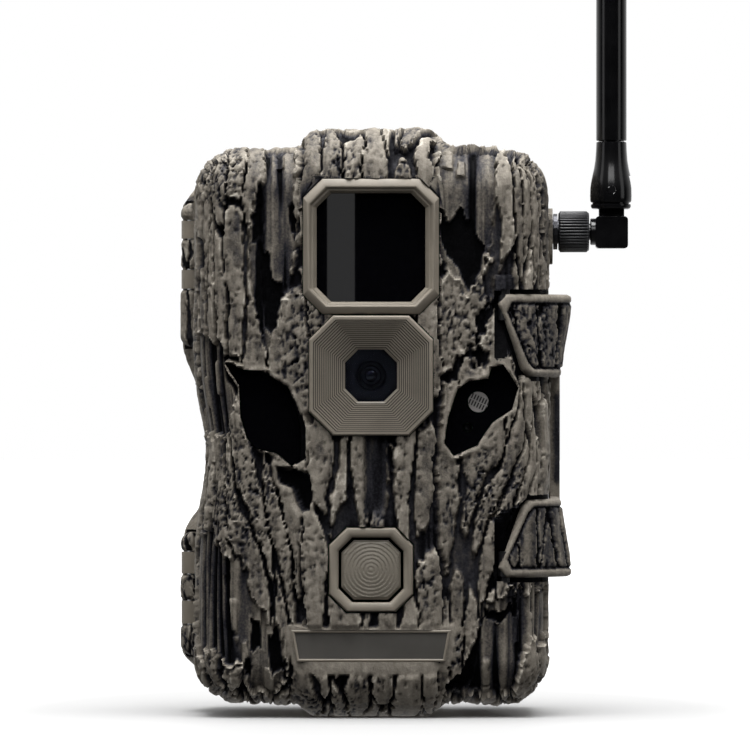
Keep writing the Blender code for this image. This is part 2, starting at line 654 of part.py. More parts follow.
def build_electronics():
    low, high = BOARD_Y
    board = make_object("main_board", box((-33.0, low, 14.0), (33.0, high, 134.0)), "circuit_board")
    corners = [rod((x, low - 2.0, z), (0, 1, 0), 6.0, POST_R + 0.5, 12) for x, z in PANEL_SCREWS]
    cut(board, several(*corners))
    modem = box((-8.0, high + FIT_GAP, 96.0), (22.0, high + 3.0, 124.0))
    make_object("modem_module", modem, "steel")
    socket = box((USB_X - 4.4, high + FIT_GAP, USB_Z - 1.6), (USB_X + 4.4, PANEL_Y[1] - 0.6, USB_Z + 1.6))
    usb = make_object("usb_port", socket, "steel")
    mouth = box((USB_X - 3.9, PANEL_Y[1] - 7.0, USB_Z - 1.1), (USB_X + 3.9, PANEL_Y[1] + 1.0, USB_Z + 1.1))
    cut(usb, mouth)


def build_inner_panel():
    panel = make_object("inner_panel", prism(panel_outline(), *PANEL_Y), "black_plastic")
    through = (PANEL_Y[0] - 1.0, PANEL_Y[1] + 1.0)
    display = prism(octagon(DISPLAY_HALF[0] + FIT_GAP, DISPLAY_HALF[1] + FIT_GAP, 0.8, (0.0, DISPLAY_Z)), *through)
    slot_end = SWITCH_X + SWITCH_TRAVEL + 3.0
    slot = box((SWITCH_X - 3.0, through[0], SWITCH_Z - 2.4), (slot_end, through[1], SWITCH_Z + 2.4))
    card_well = box((CARD_X[1] - 8.0, through[0], CARD_Z - 10.0), (CARD_X[1] + 7.0, through[1], CARD_Z + 10.0))
    usb_hole = box((USB_X - 4.8, through[0], USB_Z - 2.0), (USB_X + 4.8, through[1], USB_Z + 2.0))
    holes = [rod((x, through[0], BUTTON_Z), (0, 1, 0), 4.0, BUTTON_R + FIT_GAP, 16) for x in BUTTONS.values()]
    holes += [rod((x, through[0], z), (0, 1, 0), 4.0, SCREW_HOLE_R, 10) for x, z in PANEL_SCREWS]
    cut(panel, several(display, slot, card_well, usb_hole, *holes))
    screen = prism(octagon(*DISPLAY_HALF, 0.6, (0.0, DISPLAY_Z)), PANEL_Y[0] - 1.2, PANEL_Y[1] - 0.4)
    make_object("display_window", screen, "dark_window")
    for i, (x, z) in enumerate(PANEL_SCREWS, start=1):
        profile = ((SCREW_SHANK_R, 0.0), (SCREW_SHANK_R, 6.8), (2.4, 6.8), (2.4, 7.6), (1.6, 8.0))
        screw = make_object(f"panel_screw_{i}", turned(profile, (x, PANEL_Y[1] - 6.5, z), (0, 1, 0), 10), "steel")
        cut(screw, box((x - 1.2, PANEL_Y[1] + 0.9, z - 0.3), (x + 1.2, PANEL_Y[1] + 3.0, z + 0.3)))
    near, far = PANEL_Y[1] + 0.2, PARTING_Y + 0.9
    section = ((0.0, near), (0.0, far), (-GASKET_WIDTH, far), (-GASKET_WIDTH, near))
    rings = [[(x, y, z) for x, z in panel_outline(margin)] for margin, y in section]
    make_object("door_gasket", loft(rings, closed=True), "rubber")


def build_controls():
    for name, x in BUTTONS.items():
        profile = ((BUTTON_R + 0.9, 0.0), (BUTTON_R + 0.9, 1.0), (BUTTON_R, 1.0), (BUTTON_R, 4.4), (BUTTON_R - 0.5, 4.9))
        start = (x, PANEL_Y[0] - 1.0 - FIT_GAP, BUTTON_Z)
        make_object(name, turned(profile, start, (0, 1, 0), 16), "rubber", origin=start)
    x, y, z = SWITCH_X, PANEL_Y[0] - 1.0 - FIT_GAP, SWITCH_Z
    foot = box((x - 4.6, y, z - 3.4), (x + 4.6, y + 1.0, z + 3.4))
    slider = make_object("mode_switch", foot, "steel", origin=(x, y, z))
    join(slider, box((x - 2.2, y + 0.5, z - 2.0), (x + 2.2, y + 4.6, z + 2.0)))
    card_y = (PANEL_Y[0] - 2.6, PANEL_Y[0] - 0.5)
    card_start = (CARD_X[0], card_y[0], CARD_Z)
    outline = [(CARD_X[0], CARD_Z - 12.0), (CARD_X[1], CARD_Z - 12.0), (CARD_X[1], CARD_Z + 12.0),
               (CARD_X[0] + 3.5, CARD_Z + 12.0), (CARD_X[0], CARD_Z + 8.5)]
    make_object("sd_card", prism(outline, *card_y), "black_plastic", origin=card_start)


# ---------------------------------------------------------------- antenna

def build_antenna():
    jack = ((4.6, 0.3), (4.6, 1.3), (3.1, 1.3), (3.1, 7.2), (2.4, 7.2), (2.4, 3.5), (1.0, 3.5), (1.0, -8.0),
            (3.1, -8.0), (3.1, 0.3))
    make_object("antenna_connector", tube(jack, (PORT_FACE_X, PORT_Y, PORT_Z), (1, 0, 0), 16), "brass")
    start = (PORT_FACE_X, PORT_Y, PORT_Z)
    nut = ((5.1, 2.0), (5.1, 8.9), (4.7, 9.3), (2.6, 9.3), (2.6, 8.0), (3.4, 8.0), (3.4, 1.6), (4.7, 1.6))
    make_object("antenna_nut", tube(nut, start, (1, 0, 0)), "black_plastic", origin=start)
    elbow_start = (MAST_X, PORT_Y, PORT_Z)
    block = round_rectangle(3.95, 3.95, 0.9, (MAST_X, PORT_Z - 0.2), 2)
    elbow = make_object("antenna_elbow", prism(block, PORT_Y - 3.9, PORT_Y + 3.9), "black_plastic")
    ferrule = ((2.1, 4.4), (2.1, 9.6), (3.4, 9.6), (3.4, MAST_X - PORT_FACE_X - 2.0))
    join(elbow, turned(ferrule, start, (1, 0, 0), 16))
    tongue = [(MAST_X - 2.8, PORT_Z + 2.0), (MAST_X + 2.8, PORT_Z + 2.0)]
    tongue += [(MAST_X + 2.8 * math.cos(a), TILT_Z + 2.8 * math.sin(a)) for a in (i * math.pi / 8 for i in range(9))]
    join(elbow, prism(tongue, PORT_Y - 1.6, PORT_Y + 1.6))
    cut(elbow, rod((MAST_X, PORT_Y - 5.0, TILT_Z), (0, 1, 0), 10.0, 1.2, 12))
    elbow.location = Vector(elbow_start) * MM
    shift_mesh(elbow)

    bell = ((4.3, 127.75), (4.7, 128.1), (4.8, 128.9), (4.5, 129.05), (4.5, 129.3), (5.0, 129.5), (5.05, 131.0),
            (4.95, 134.0), (4.5, 137.0), (3.95, 140.0), (3.7, 142.5), (3.6, MAST_START_Z - FIT_GAP))
    boot = make_object("antenna_boot", turned(bell, (MAST_X, PORT_Y, 0.0), (0, 0, 1), 20), "black_plastic")
    cut(boot, box((MAST_X - 3.1, PORT_Y - 1.9, 120.0), (MAST_X + 8.0, PORT_Y + 1.9, TILT_Z + 3.2)))
    cut(boot, rod((MAST_X, PORT_Y - 8.0, TILT_Z), (0, 1, 0), 16.0, 1.2, 12))
    cut(boot, rod((MAST_X, PORT_Y, MAST_START_Z - 6.4), (0, 0, 1), 8.0, 2.6, 12))
    tilt = (MAST_X, PORT_Y, TILT_Z)
    boot.location = Vector(tilt) * MM
    shift_mesh(boot)
    pin = rod((MAST_X, PORT_Y - 4.6, TILT_Z), (0, 1, 0), 9.2, 0.95, 12)
    make_object("antenna_pin", pin, "steel", origin=tilt)
    mast = ((2.3, -6.0), (2.3, 0.0), (3.65, 0.0), (3.65, 60.0), (3.3, MAST_TOP_Z - MAST_START_Z - 3.0),
            (2.9, MAST_TOP_Z - MAST_START_Z - 1.2), (1.6, MAST_TOP_Z - MAST_START_Z))
    rod_shape = turned(mast, (MAST_X, PORT_Y, MAST_START_Z), (0, 0, 1), 20)
    make_object("antenna_mast", rod_shape, "black_plastic", origin=tilt)


# ---------------------------------------------------------------- battery bay, base and back

def cell_columns():
    return [(i - 1.5) * CELL_PITCH for i in range(4)]


def build_batteries():
    half = 1.5 * CELL_PITCH + CHANNEL_WIDTH / 2 + TRAY_WALL
    front_plate = prism(panel_outline(), TRAY_Y[0], TRAY_Y[0] + TRAY_PLATE)
    tray = make_object("battery_tray", front_plate, "black_plastic")
    join(tray, box((-half, TRAY_Y[0] + 0.5, TRAY_Z[0]), (half, TRAY_Y[1], TRAY_Z[1])))
    channels = [box((x - CHANNEL_WIDTH / 2, TRAY_Y[0] - 4.0, TRAY_Z[0] + TRAY_WALL),
                    (x + CHANNEL_WIDTH / 2, TRAY_Y[1] - TRAY_WALL, TRAY_Z[1] - TRAY_WALL)) for x in cell_columns()]
    cut(tray, several(*channels))
    profile = ((CELL_R - 0.4, 0.0), (CELL_R, 0.4), (CELL_R, CELL_BODY - 0.4), (CELL_R - 0.4, CELL_BODY),
               (2.6, CELL_BODY), (2.6, CELL_BODY + CELL_NUB))
    number = 1
    for z in CELL_ROWS:
        for x in cell_columns():
            make_object(f"battery_cell_{number}", turned(profile, (x, CELL_Y, z), (0, 0, 1), 14), "cell_wrap")
            number += 1
    for number, x in enumerate(cell_columns(), start=1):
        make_object(f"battery_spring_{number}", conical_spring(x, CELL_Y, TRAY_Z[0] + TRAY_WALL + 0.8), "steel")


def conical_spring(x, y, z):
    """A battery spring that narrows towards the cell, as a round wire swept along its coil."""
    turns, per_turn, wire, sides = 2.5, 8, 0.4, 4
    rings = []
    for i in range(int(turns * per_turn) + 1):
        share = i / (turns * per_turn)
        angle = 2 * math.pi * turns * share
        radius = 4.6 - 2.0 * share
        outward = Vector((math.cos(angle), math.sin(angle), 0.0))
        centre = Vector((x, y, z + 4.4 * share)) + outward * radius
        rings.append([
            centre + outward * wire * math.cos(a) + Vector((0, 0, wire * math.sin(a)))
            for a in (2 * math.pi * k / sides for k in range(sides))
        ])
    return loft(rings)


def build_base_fittings():
    ring = ((TRIPOD_INSERT_R, 0.0), (TRIPOD_INSERT_R, 9.6), (TRIPOD_HOLE_R, 9.6), (TRIPOD_HOLE_R, 0.0))
    make_object("tripod_insert", tube(ring, (0.0, TRIPOD_Y, 0.5), (0, 0, 1)), "brass")
    jack = ((3.1, 4.2), (3.1, 6.4), (4.6, 6.4), (4.6, 15.4), (2.4, 15.4), (2.4, 4.2))
    make_object("dc_jack", tube(jack, (JACK_X, JACK_Y, 0.0), (0, 0, 1), 20), "black_plastic")
    start = (JACK_X, JACK_Y, 3.2)
    plug = ((5.0, 0.0), (5.4, 0.3), (5.4, 1.2), (2.0, 1.2), (2.0, 5.2), (1.6, 5.6))
    make_object("jack_cover", turned(plug, (JACK_X, JACK_Y, 2.0), (0, 0, 1), 20), "rubber", origin=start)


def build_tree_bracket():
    outline = round_rectangle(31.0, 27.0, 4.0, (0.0, 73.0))
    bracket = make_object("tree_bracket", prism(outline, BRACKET_Y, BRACKET_Y + 2.5), "tan_plastic")
    pads = [box((side * 24.5 - 5.5, BRACKET_Y + 1.5, 50.0), (side * 24.5 + 5.5, STRAP_PAD_Y, 96.0)) for side in (-1, 1)]
    join(bracket, several(*pads))
    slots = [box((side * 24.5 - 8.0, BRACKET_Y + 2.7, 58.0), (side * 24.5 + 8.0, BRACKET_Y + 7.7, 88.0))
             for side in (-1, 1)]
    cut(bracket, several(*slots))
    teeth = []
    for side in (-1, 1):
        for z in range(54, 96, 8):
            groove = [(STRAP_PAD_Y + 1.0, z - 2.2), (STRAP_PAD_Y - 1.4, z), (STRAP_PAD_Y + 1.0, z + 2.2)]
            teeth.append(loft([[(x, y, h) for y, h in groove] for x in (side * 24.5 - 7.0, side * 24.5 + 7.0)]))
    cut(bracket, several(*teeth))
    screw_holes = [rod((0.0, BRACKET_Y - 2.0, z), (0, 1, 0), 6.0, SCREW_HOLE_R + 0.3, 12) for z in BRACKET_SCREWS_Z]
    cut(bracket, several(*screw_holes))
    for number, z in enumerate(BRACKET_SCREWS_Z, start=1):
        profile = ((1.3, 0.0), (1.3, 10.0), (3.0, 10.0), (3.0, 11.2), (2.2, 11.8))
        start = (0.0, BRACKET_Y + 2.5 + FIT_GAP - 10.0, z)
        screw = make_object(f"bracket_screw_{number}", turned(profile, start, (0, 1, 0), 12), "steel")
        cut(screw, box((-1.6, BRACKET_Y + 3.8, z - 0.35), (1.6, BRACKET_Y + 6.0, z + 0.35)))


def main():
    clear_scene()
    build_front_shell()
    build_rear_housing()
    build_hinge_pins()
    build_latch()
    build_ir_group()
    build_lens_group()
    build_pir_group()
    build_side_windows()
    build_electronics()
    build_inner_panel()
    build_controls()
    build_antenna()
    build_batteries()
    build_base_fittings()
    build_tree_bracket()


main()
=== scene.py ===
# The looks of the trail camera: bark-shaped shells, moulded trim, dark windows, antenna and the inside
# of the door. Lengths are in millimetres until a piece is made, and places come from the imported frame.
import math

import bmesh
import bpy
import numpy as np
from mathutils import Matrix, Vector
from mathutils.geometry import delaunay_2d_cdt


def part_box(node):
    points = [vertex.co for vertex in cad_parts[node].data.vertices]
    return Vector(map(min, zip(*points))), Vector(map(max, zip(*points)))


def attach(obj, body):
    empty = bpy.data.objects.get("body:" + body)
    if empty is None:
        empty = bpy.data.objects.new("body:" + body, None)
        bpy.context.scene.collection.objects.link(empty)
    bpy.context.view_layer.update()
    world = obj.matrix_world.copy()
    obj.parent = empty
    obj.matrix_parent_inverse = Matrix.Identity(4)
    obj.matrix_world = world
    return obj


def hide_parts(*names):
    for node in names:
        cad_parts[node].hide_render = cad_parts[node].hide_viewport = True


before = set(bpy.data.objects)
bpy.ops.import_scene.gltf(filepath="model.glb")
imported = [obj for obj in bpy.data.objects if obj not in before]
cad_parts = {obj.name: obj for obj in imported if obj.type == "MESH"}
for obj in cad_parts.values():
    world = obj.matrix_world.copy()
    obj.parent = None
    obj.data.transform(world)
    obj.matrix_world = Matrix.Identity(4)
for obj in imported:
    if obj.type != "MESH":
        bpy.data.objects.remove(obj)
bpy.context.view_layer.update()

MM = 0.001
JOIN = "join"
CUT = "cut"
ALONG_X = (1, 0, 0)
ALONG_Y = (0, 1, 0)
ALONG_Z = (0, 0, 1)
FAR_AWAY = 1e9


def low(node):
    """The low corner of a CAD node's box, in millimetres."""
    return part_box(node)[0] / MM


def high(node):
    """The high corner of a CAD node's box, in millimetres."""
    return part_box(node)[1] / MM


def middle(node):
    return (low(node) + high(node)) / 2


# ---------------------------------------------------------------- sizes of the case, as in the solids

PARTING_Y = round(middle("hinge_pin_upper").y, 3)
BAND_FACE_Y = round(low("front_shell").y, 3)
SPINE_PROUD = 2.0
FRONT_Y = BAND_FACE_Y + SPINE_PROUD
CASE_DEPTH = PARTING_Y - FRONT_Y
BACK_Y = PARTING_Y + CASE_DEPTH
HALF_WIDTH = 44.0
CASE_BOTTOM = 3.5
CASE_TOP = 142.5
CASE_MIDDLE = (CASE_BOTTOM + CASE_TOP) / 2
CORNER_R = 11.0
WALL = 2.5
RIM_GAP = 0.15
FIT_GAP = 0.3
SPINE_FLAT = 14.0
SPINE_EDGE = 20.0
BROW_RISE = 4.5
FOOT_DROP = CASE_BOTTOM
WAIST_DEPTH = 2.8
WAIST_Z = 66.0
WAIST_SPAN = 15.0
PANEL_HALF_WIDTH = 38.2
PANEL_HALF_HEIGHT = 64.5
PANEL_CORNER_R = 8.0

HINGE_X = round(middle("hinge_pin_upper").x, 3)
KNUCKLE_R = 2.6
HINGE_SPANS = ((93.0, 129.5), (14.5, 45.75))
DOOR_KNUCKLES = ((107.75, 112.5), (120.5, 125.0), (22.5, 28.25), (35.25, 40.75))
HINGE_SWELL = 3.9
REAR_KNUCKLES = (
    (93.0, 107.45), (112.8, 120.2), (125.3, 129.5), (14.5, 22.2), (28.55, 34.95), (41.05, 45.75),
)

LATCH_TOP = 106.0
LATCH_BOTTOM = 35.0
LATCH_MIDDLE = (LATCH_TOP + LATCH_BOTTOM) / 2
BAR_TOP = 85.0
BAR_BOTTOM = 55.0
ARC_START = HALF_WIDTH - CORNER_R
ARC_END = ARC_START + CORNER_R * math.pi / 2
LATCH_END = ARC_END + 31.0
BAR_START = ARC_END + 16.0
LATCH_PIVOT = (33.6, FRONT_Y + 2.0)
LATCH_BARREL_R = 1.7
LATCH_BARREL_HEIGHT = 6.5
POCKET_GAP = 1.2

IR_Z = middle("ir_window").z
LENS_Z = middle("lens_window").z
PIR_Z = middle("pir_lens").z
PORT = middle("antenna_nut")
PORT_FACE_X = 45.8
MAST_X = round(middle("antenna_mast").x, 3)
TILT_Z = 132.5

# Paint is a number from 0, black in the furrows (dark paint and painted shade), to 1, pale on the ridges
INNER_PAINT = 0.3
TRIM_PAINT = 0.72

# Sizes of the quads of each shell: across, up, and along its depth
FRONT_PITCH = (0.44, 0.5, 0.85)
REAR_PITCH = (0.62, 0.62, 0.8)
INSIDE_PITCH = (4.0, 6.0, 6.0)
LATCH_PITCH = 0.42

# Outlines on the front of the case, in X and Z, in either direction
SENSOR_OUTLINE = (
    (33.0, 88.0), (36.6, 82.5), (35.0, 77.2), (30.2, 74.0), (26.4, 68.4), (20.8, 65.8),
    (18.6, 68.8), (19.6, 75.2), (21.9, 82.0), (24.4, 83.8), (29.5, 84.6), (30.4, 87.4),
)
KNOT_OUTLINE = (
    (-36.2, 88.4), (-31.8, 86.8), (-27.3, 86.5), (-21.0, 82.5), (-19.6, 79.0), (-17.9, 72.6),
    (-17.9, 64.6), (-19.8, 63.2), (-23.6, 66.4), (-29.0, 67.6), (-30.8, 70.0), (-32.4, 75.2), (-32.8, 83.2),
)
LOWER_KNOT = (
    (-25.3, 63.0), (-20.8, 62.5), (-16.0, 60.5), (-15.7, 51.5), (-18.2, 51.5), (-20.8, 57.2), (-24.0, 58.5),
)
PLATE_OUTLINE = ((-20.0, 22.0), (20.0, 22.0), (18.6, 14.0), (-18.6, 14.0))

# Where the outer bark has peeled away and darker fibres show
PEELED = (
    ((-26.0, 139.0), (-29.5, 127.8), (-30.5, 121.0), (-30.0, 109.3), (-28.2, 98.0), (-26.3, 92.0),
     (-23.8, 98.0), (-21.0, 110.0), (-19.0, 118.0), (-19.0, 152.0), (-27.0, 152.0)),
    ((17.0, 152.0), (17.0, 114.0), (21.0, 111.0), (24.8, 105.8), (28.6, 113.0), (30.2, 124.5),
     (31.5, 137.0), (30.0, 152.0)),
    ((-56.0, 46.0), (-43.0, 46.5), (-38.0, 41.8), (-34.5, 39.0), (-31.0, 37.0), (-30.5, 29.5), (-27.0, 27.5),
     (-22.4, 21.0), (-20.8, 11.0), (-25.0, 2.0), (-31.0, 4.0), (-32.0, 14.0), (-38.0, 15.5), (-56.0, 16.0)),
    ((29.6, 29.8), (39.0, 32.2), (56.0, 33.0), (56.0, 19.5), (40.5, 19.5), (37.6, 13.0), (37.0, 0.0),
     (17.5, 0.0), (18.8, 7.0), (23.2, 12.0), (27.0, 19.0), (28.2, 25.0)),
    ((-56.0, 96.5), (-43.7, 95.5), (-38.0, 94.0), (-36.4, 90.0), (-33.6, 88.0), (-33.6, 80.0), (-36.0, 76.0),
     (-40.5, 71.0), (-56.0, 70.0)),
)

# Deep hollows in the peeled places, painted black as painted shade
HOLLOWS = (
    ((-30.0, 127.3), (-27.4, 127.3), (-27.4, 119.3), (-30.0, 119.3)),
    ((-28.2, 118.5), (-25.8, 117.8), (-24.6, 110.5), (-22.0, 107.0), (-21.5, 101.0), (-24.0, 94.5),
     (-26.5, 99.0), (-27.3, 108.0)),
    ((-20.6, 129.0), (-17.9, 129.0), (-17.9, 120.5), (-19.6, 119.6)),
    ((-38.5, 90.5), (-33.5, 89.0), (-32.6, 82.0), (-33.4, 77.5), (-35.0, 79.5), (-37.0, 84.0)),
    ((17.6, 126.0), (19.5, 124.0), (22.5, 127.0), (25.5, 123.0), (28.3, 118.0), (27.5, 112.0),
     (24.5, 106.5), (21.5, 113.0), (18.5, 117.0)),
    ((-35.2, 14.5), (-30.2, 13.0), (-30.0, 8.0), (-35.0, 8.5)),
    ((-30.0, 24.2), (-27.8, 24.2), (-27.6, 17.0), (-30.0, 17.0)),
    ((-25.8, 22.0), (-23.4, 21.5), (-21.6, 12.0), (-24.8, 11.0)),
    ((26.8, 17.0), (28.3, 24.0), (24.6, 19.0), (22.5, 14.0), (18.6, 7.0), (17.6, 2.0), (24.0, 2.0),
     (25.5, 9.0)),
    ((28.4, 27.2), (37.3, 27.6), (37.0, 25.2), (28.4, 24.6)),
    ((-37.5, 37.5), (-35.6, 36.8), (-35.6, 27.5), (-37.3, 26.0)),
)


# ---------------------------------------------------------------- noise

WORD = 2**32
SEED_MULTIPLIER = 2654435761
FIRST_MULTIPLIER = np.uint32(2246822507)
SECOND_MULTIPLIER = np.uint32(3266489909)


def hashed(seed, *cells):
    """A repeatable number from 0 to 1 for each set of whole-number cells."""
    mixed = np.full(np.shape(cells[0]), (seed * SEED_MULTIPLIER) % WORD, np.uint32)
    for cell in cells:
        mixed = (mixed ^ np.asarray(cell, np.int64).astype(np.uint32)) * FIRST_MULTIPLIER
        mixed ^= mixed >> np.uint32(13)
        mixed = mixed * SECOND_MULTIPLIER
        mixed ^= mixed >> np.uint32(16)
    return mixed / (WORD - 1.0)


def noise(u, v, seed):
    """Smooth noise from -1 to 1, with features about one unit across."""
    cell_u, cell_v = np.floor(u), np.floor(v)
    part_u, part_v = u - cell_u, v - cell_v
    blend_u = part_u * part_u * (3 - 2 * part_u)
    blend_v = part_v * part_v * (3 - 2 * part_v)
    near = hashed(seed, cell_u, cell_v) * (1 - blend_u) + hashed(seed, cell_u + 1, cell_v) * blend_u
    far = hashed(seed, cell_u, cell_v + 1) * (1 - blend_u) + hashed(seed, cell_u + 1, cell_v + 1) * blend_u
    return (near * (1 - blend_v) + far * blend_v) * 2 - 1


def rough(u, v, seed):
    """Three sizes of noise added together."""
    total = np.zeros(np.shape(u))
    for octave in range(3):
        total += noise(u * 2**octave, v * 2**octave, seed + octave) * 0.5**octave
    return total


def cells(u, v, seed):
    """Scattered cells of about one unit: distances to the two nearest centres, and the nearest's number."""
    jitter = 0.9
    home_u, home_v = np.floor(u), np.floor(v)
    first = np.full(np.shape(u), FAR_AWAY)
    second = first.copy()
    chosen = np.zeros(np.shape(u))
    for step_u in (-1, 0, 1):
        for step_v in (-1, 0, 1):
            cell_u, cell_v = home_u + step_u, home_v + step_v
            centre_u = cell_u + 0.5 + jitter * (hashed(seed, cell_u, cell_v) - 0.5)
            centre_v = cell_v + 0.5 + jitter * (hashed(seed + 1, cell_u, cell_v) - 0.5)
            distance = np.hypot(u - centre_u, v - centre_v)
            nearer = distance < first
            second = np.where(nearer, first, np.minimum(second, distance))
            chosen = np.where(nearer, hashed(seed + 2, cell_u, cell_v), chosen)
            first = np.where(nearer, distance, first)
    return first, second, chosen


def smooth(low_edge, high_edge, value):
    """0 at the first edge and 1 at the second, with a soft step between them."""
    t = np.clip((value - low_edge) / (high_edge - low_edge), 0.0, 1.0)
    return t * t * (3 - 2 * t)


def outside(u, v, outline):
    """Distance to an outline: positive outside it and negative inside."""
    nearest = np.full(np.shape(u), FAR_AWAY)
    crossings = np.zeros(np.shape(u), bool)
    count = len(outline)
    for i in range(count):
        (u0, v0), (u1, v1) = outline[i], outline[(i + 1) % count]
        along_u, along_v = u1 - u0, v1 - v0
        share = np.clip(((u - u0) * along_u + (v - v0) * along_v) / (along_u**2 + along_v**2), 0, 1)
        distance = np.hypot(u - u0 - share * along_u, v - v0 - share * along_v)
        nearest = np.minimum(nearest, distance)
        if v0 != v1:
            crosses = ((v0 > v) != (v1 > v)) & (u < u0 + (v - v0) * along_u / along_v)
            crossings ^= crosses
    return np.where(crossings, -nearest, nearest)


# ---------------------------------------------------------------- bark

def lean(u, v):
    """Sideways drift of the ridges, which fan out from the waist on both sides."""
    rise = smooth(34.0, 76.0, v) - 0.5
    right = np.exp(-(((u - 34.0) / 11.0) ** 2))
    left = np.exp(-(((u + 30.0) / 10.0) ** 2))
    return 17.0 * rise * right - 13.0 * rise * left


def bark(u, v, seed=0):
    """Height in millimetres and paint of bark that is cut into long upright plates by furrows."""
    plate_size, chip_size, dent_size = (5.4, 38.0), (1.9, 5.5), (1.15, 1.7)
    furrow_depth, crown_rise = 1.55, 0.75
    wander_u = u - lean(u, v) + 1.8 * noise(u / 11, v / 24, seed + 1) + 0.8 * noise(u / 4.0, v / 8, seed + 2)
    wander_u = wander_u + 0.45 * noise(u / 1.7, v / 2.6, seed + 3) + 0.22 * noise(u / 0.8, v / 1.1, seed + 5)
    wander_v = v + 6.0 * noise(u / 7, v / 18, seed + 4)
    first, second, pick = cells(wander_u / plate_size[0], wander_v / plate_size[1], seed + 10)
    edge = second - first + 0.05 * rough(u / 1.3, v / 1.9, seed + 20)
    open_furrow = smooth(-0.1, 0.65, noise(u / 8, v / 19, seed + 24))
    plate = smooth(0.05 + 0.10 * open_furrow, 0.10 + 0.15 * open_furrow, edge)
    crown = np.clip((edge - 0.04) / 0.6, 0.0, 1.0) ** 0.45
    first, second, chip = cells(wander_u / chip_size[0] + 7, wander_v / chip_size[1], seed + 30)
    crack = smooth(0.02, 0.16, second - first + 0.07 * noise(u / 0.8, v / 0.9, seed + 34))
    warty = smooth(0.0, 0.6, noise(u / 7, v / 17, seed + 40) + 0.2 * smooth(18, 40, np.abs(u)))
    to_dent, _, dent = cells(u / dent_size[0], v / dent_size[1], seed + 50)
    pit = smooth(0.42, 0.2, to_dent) * (dent > 0.72 - 0.3 * warty)
    fine = rough(u / 1.5, v / 2.6, seed + 60)
    streak = noise(u / 0.9, v / 11, seed + 64) + 0.6 * noise(u / 2.1, v / 20, seed + 66)
    coarse = noise(u / 14, v / 30, seed + 70)
    strand = noise(u / 1.0, v / 22, seed + 80)
    facet = noise(u / 2.7, v / 13, seed + 84)
    height = (1 - plate) * (-furrow_depth + 0.35 * strand - 0.35 * open_furrow)
    height += plate * (0.05 + crown_rise * crown + 0.5 * (pick - 0.5) + 0.28 * facet)
    height += plate * warty * (-0.5 * (1 - crack) + 0.35 * (chip - 0.5)) - 0.42 * plate * pit
    height += 0.13 * fine + 0.13 * streak * plate + 0.35 * coarse
    # The furrows get paint near 0, near black in the material: dark paint, and painted shade deep in them.
    paint = (0.03 + 0.12 * strand + 0.19 * open_furrow) * (1 - plate)
    paint += plate * (0.60 + 0.14 * (pick - 0.5) + 0.08 * fine + 0.09 * streak)
    paint += plate * warty * (-0.36 * (1 - crack) + 0.12 * (chip - 0.5))
    paint -= plate * 0.36 * pit * (0.45 + 0.55 * warty)
    # A thin pale edge along each plate: partly worn edge, partly painted highlight.
    wear_and_highlight_lip = np.exp(-(((edge - 0.12 - 0.13 * open_furrow) / 0.03) ** 2))
    return height, paint + 0.3 * wear_and_highlight_lip * plate


def slabs_in_rows(u, v, width, length, seed):
    """Upright rectangles with ragged sides: how far in its own one each point is, and a number for it."""
    column = np.floor(u / width)
    shifted = v / length + 3.0 * hashed(seed, column)
    row = np.floor(shifted)
    across = np.abs(u / width - column - 0.5) + 0.06 * noise(u / 0.6, v / 1.5, seed + 2)
    along = np.abs(shifted - row - 0.5) + 0.02 * noise(u / 0.5, v / 1.0, seed + 3)
    return smooth(0.36, 0.26, across) * smooth(0.44, 0.41, along), hashed(seed + 1, column, row)


def nearest_of(outlines, u, v):
    """Distance to the nearest of several outlines, negative inside one."""
    reach = np.full(np.shape(u), FAR_AWAY)
    for outline in outlines:
        reach = np.minimum(reach, outside(u, v, outline))
    return reach


def peel(u, v, height, paint):
    """Sinks the peeled patches into the bark, with fibres at the bottom and a thin bright edge round them,
    partly worn edge and partly painted highlight. The deep hollows in them are painted black as painted
    shade.
    """
    jagged_u = u + 0.6 * noise(u / 1.6, v / 1.1, 201)
    jagged_v = v + 2.4 * noise(u / 1.4, v / 40, 202) + 0.5 * noise(u / 1.6, v / 1.6, 203)
    reach = nearest_of(PEELED, jagged_u, jagged_v)
    hollow_reach = nearest_of(HOLLOWS, u + 0.35 * noise(u / 1.5, v / 2.5, 204), jagged_v)
    inside = smooth(0.2, -0.25, reach)
    hollow = smooth(0.1, -0.3, hollow_reach)
    strand = noise(u / 0.6, v / 30, 210)
    cord = noise(u / 1.5 + 0.4 * noise(u / 6, v / 14, 213), v / 50, 211)
    gap = smooth(-0.1, -0.5, cord)
    block, pick = slabs_in_rows(u + 0.4 * noise(u / 5, v / 9, 214), v, 3.0, 9.5, 220)
    splinter = block * (pick > 0.82)
    floor_height = -1.2 + 0.2 * strand + 0.6 * cord - 0.7 * gap + 0.9 * splinter
    floor_paint = 0.40 + 0.12 * strand + 0.2 * cord - 0.34 * gap + 0.16 * splinter
    floor_height = floor_height * (1 - hollow) + (0.45 * cord - 2.6) * hollow
    # The hollows' floor is painted near black: painted shade.
    floor_paint = floor_paint * (1 - 0.97 * hollow) ** 2
    # Pale edges round the patches and hollows: partly worn edge, partly painted highlight.
    wear_and_highlight_lip = np.exp(-(((reach - 0.4) / 0.25) ** 2)) + 0.6 * np.exp(-(((hollow_reach - 0.3) / 0.2) ** 2))
    height = height * (1 - inside) + floor_height * inside + 0.3 * wear_and_highlight_lip
    return height, paint * (1 - inside) + floor_paint * inside + 0.3 * wear_and_highlight_lip


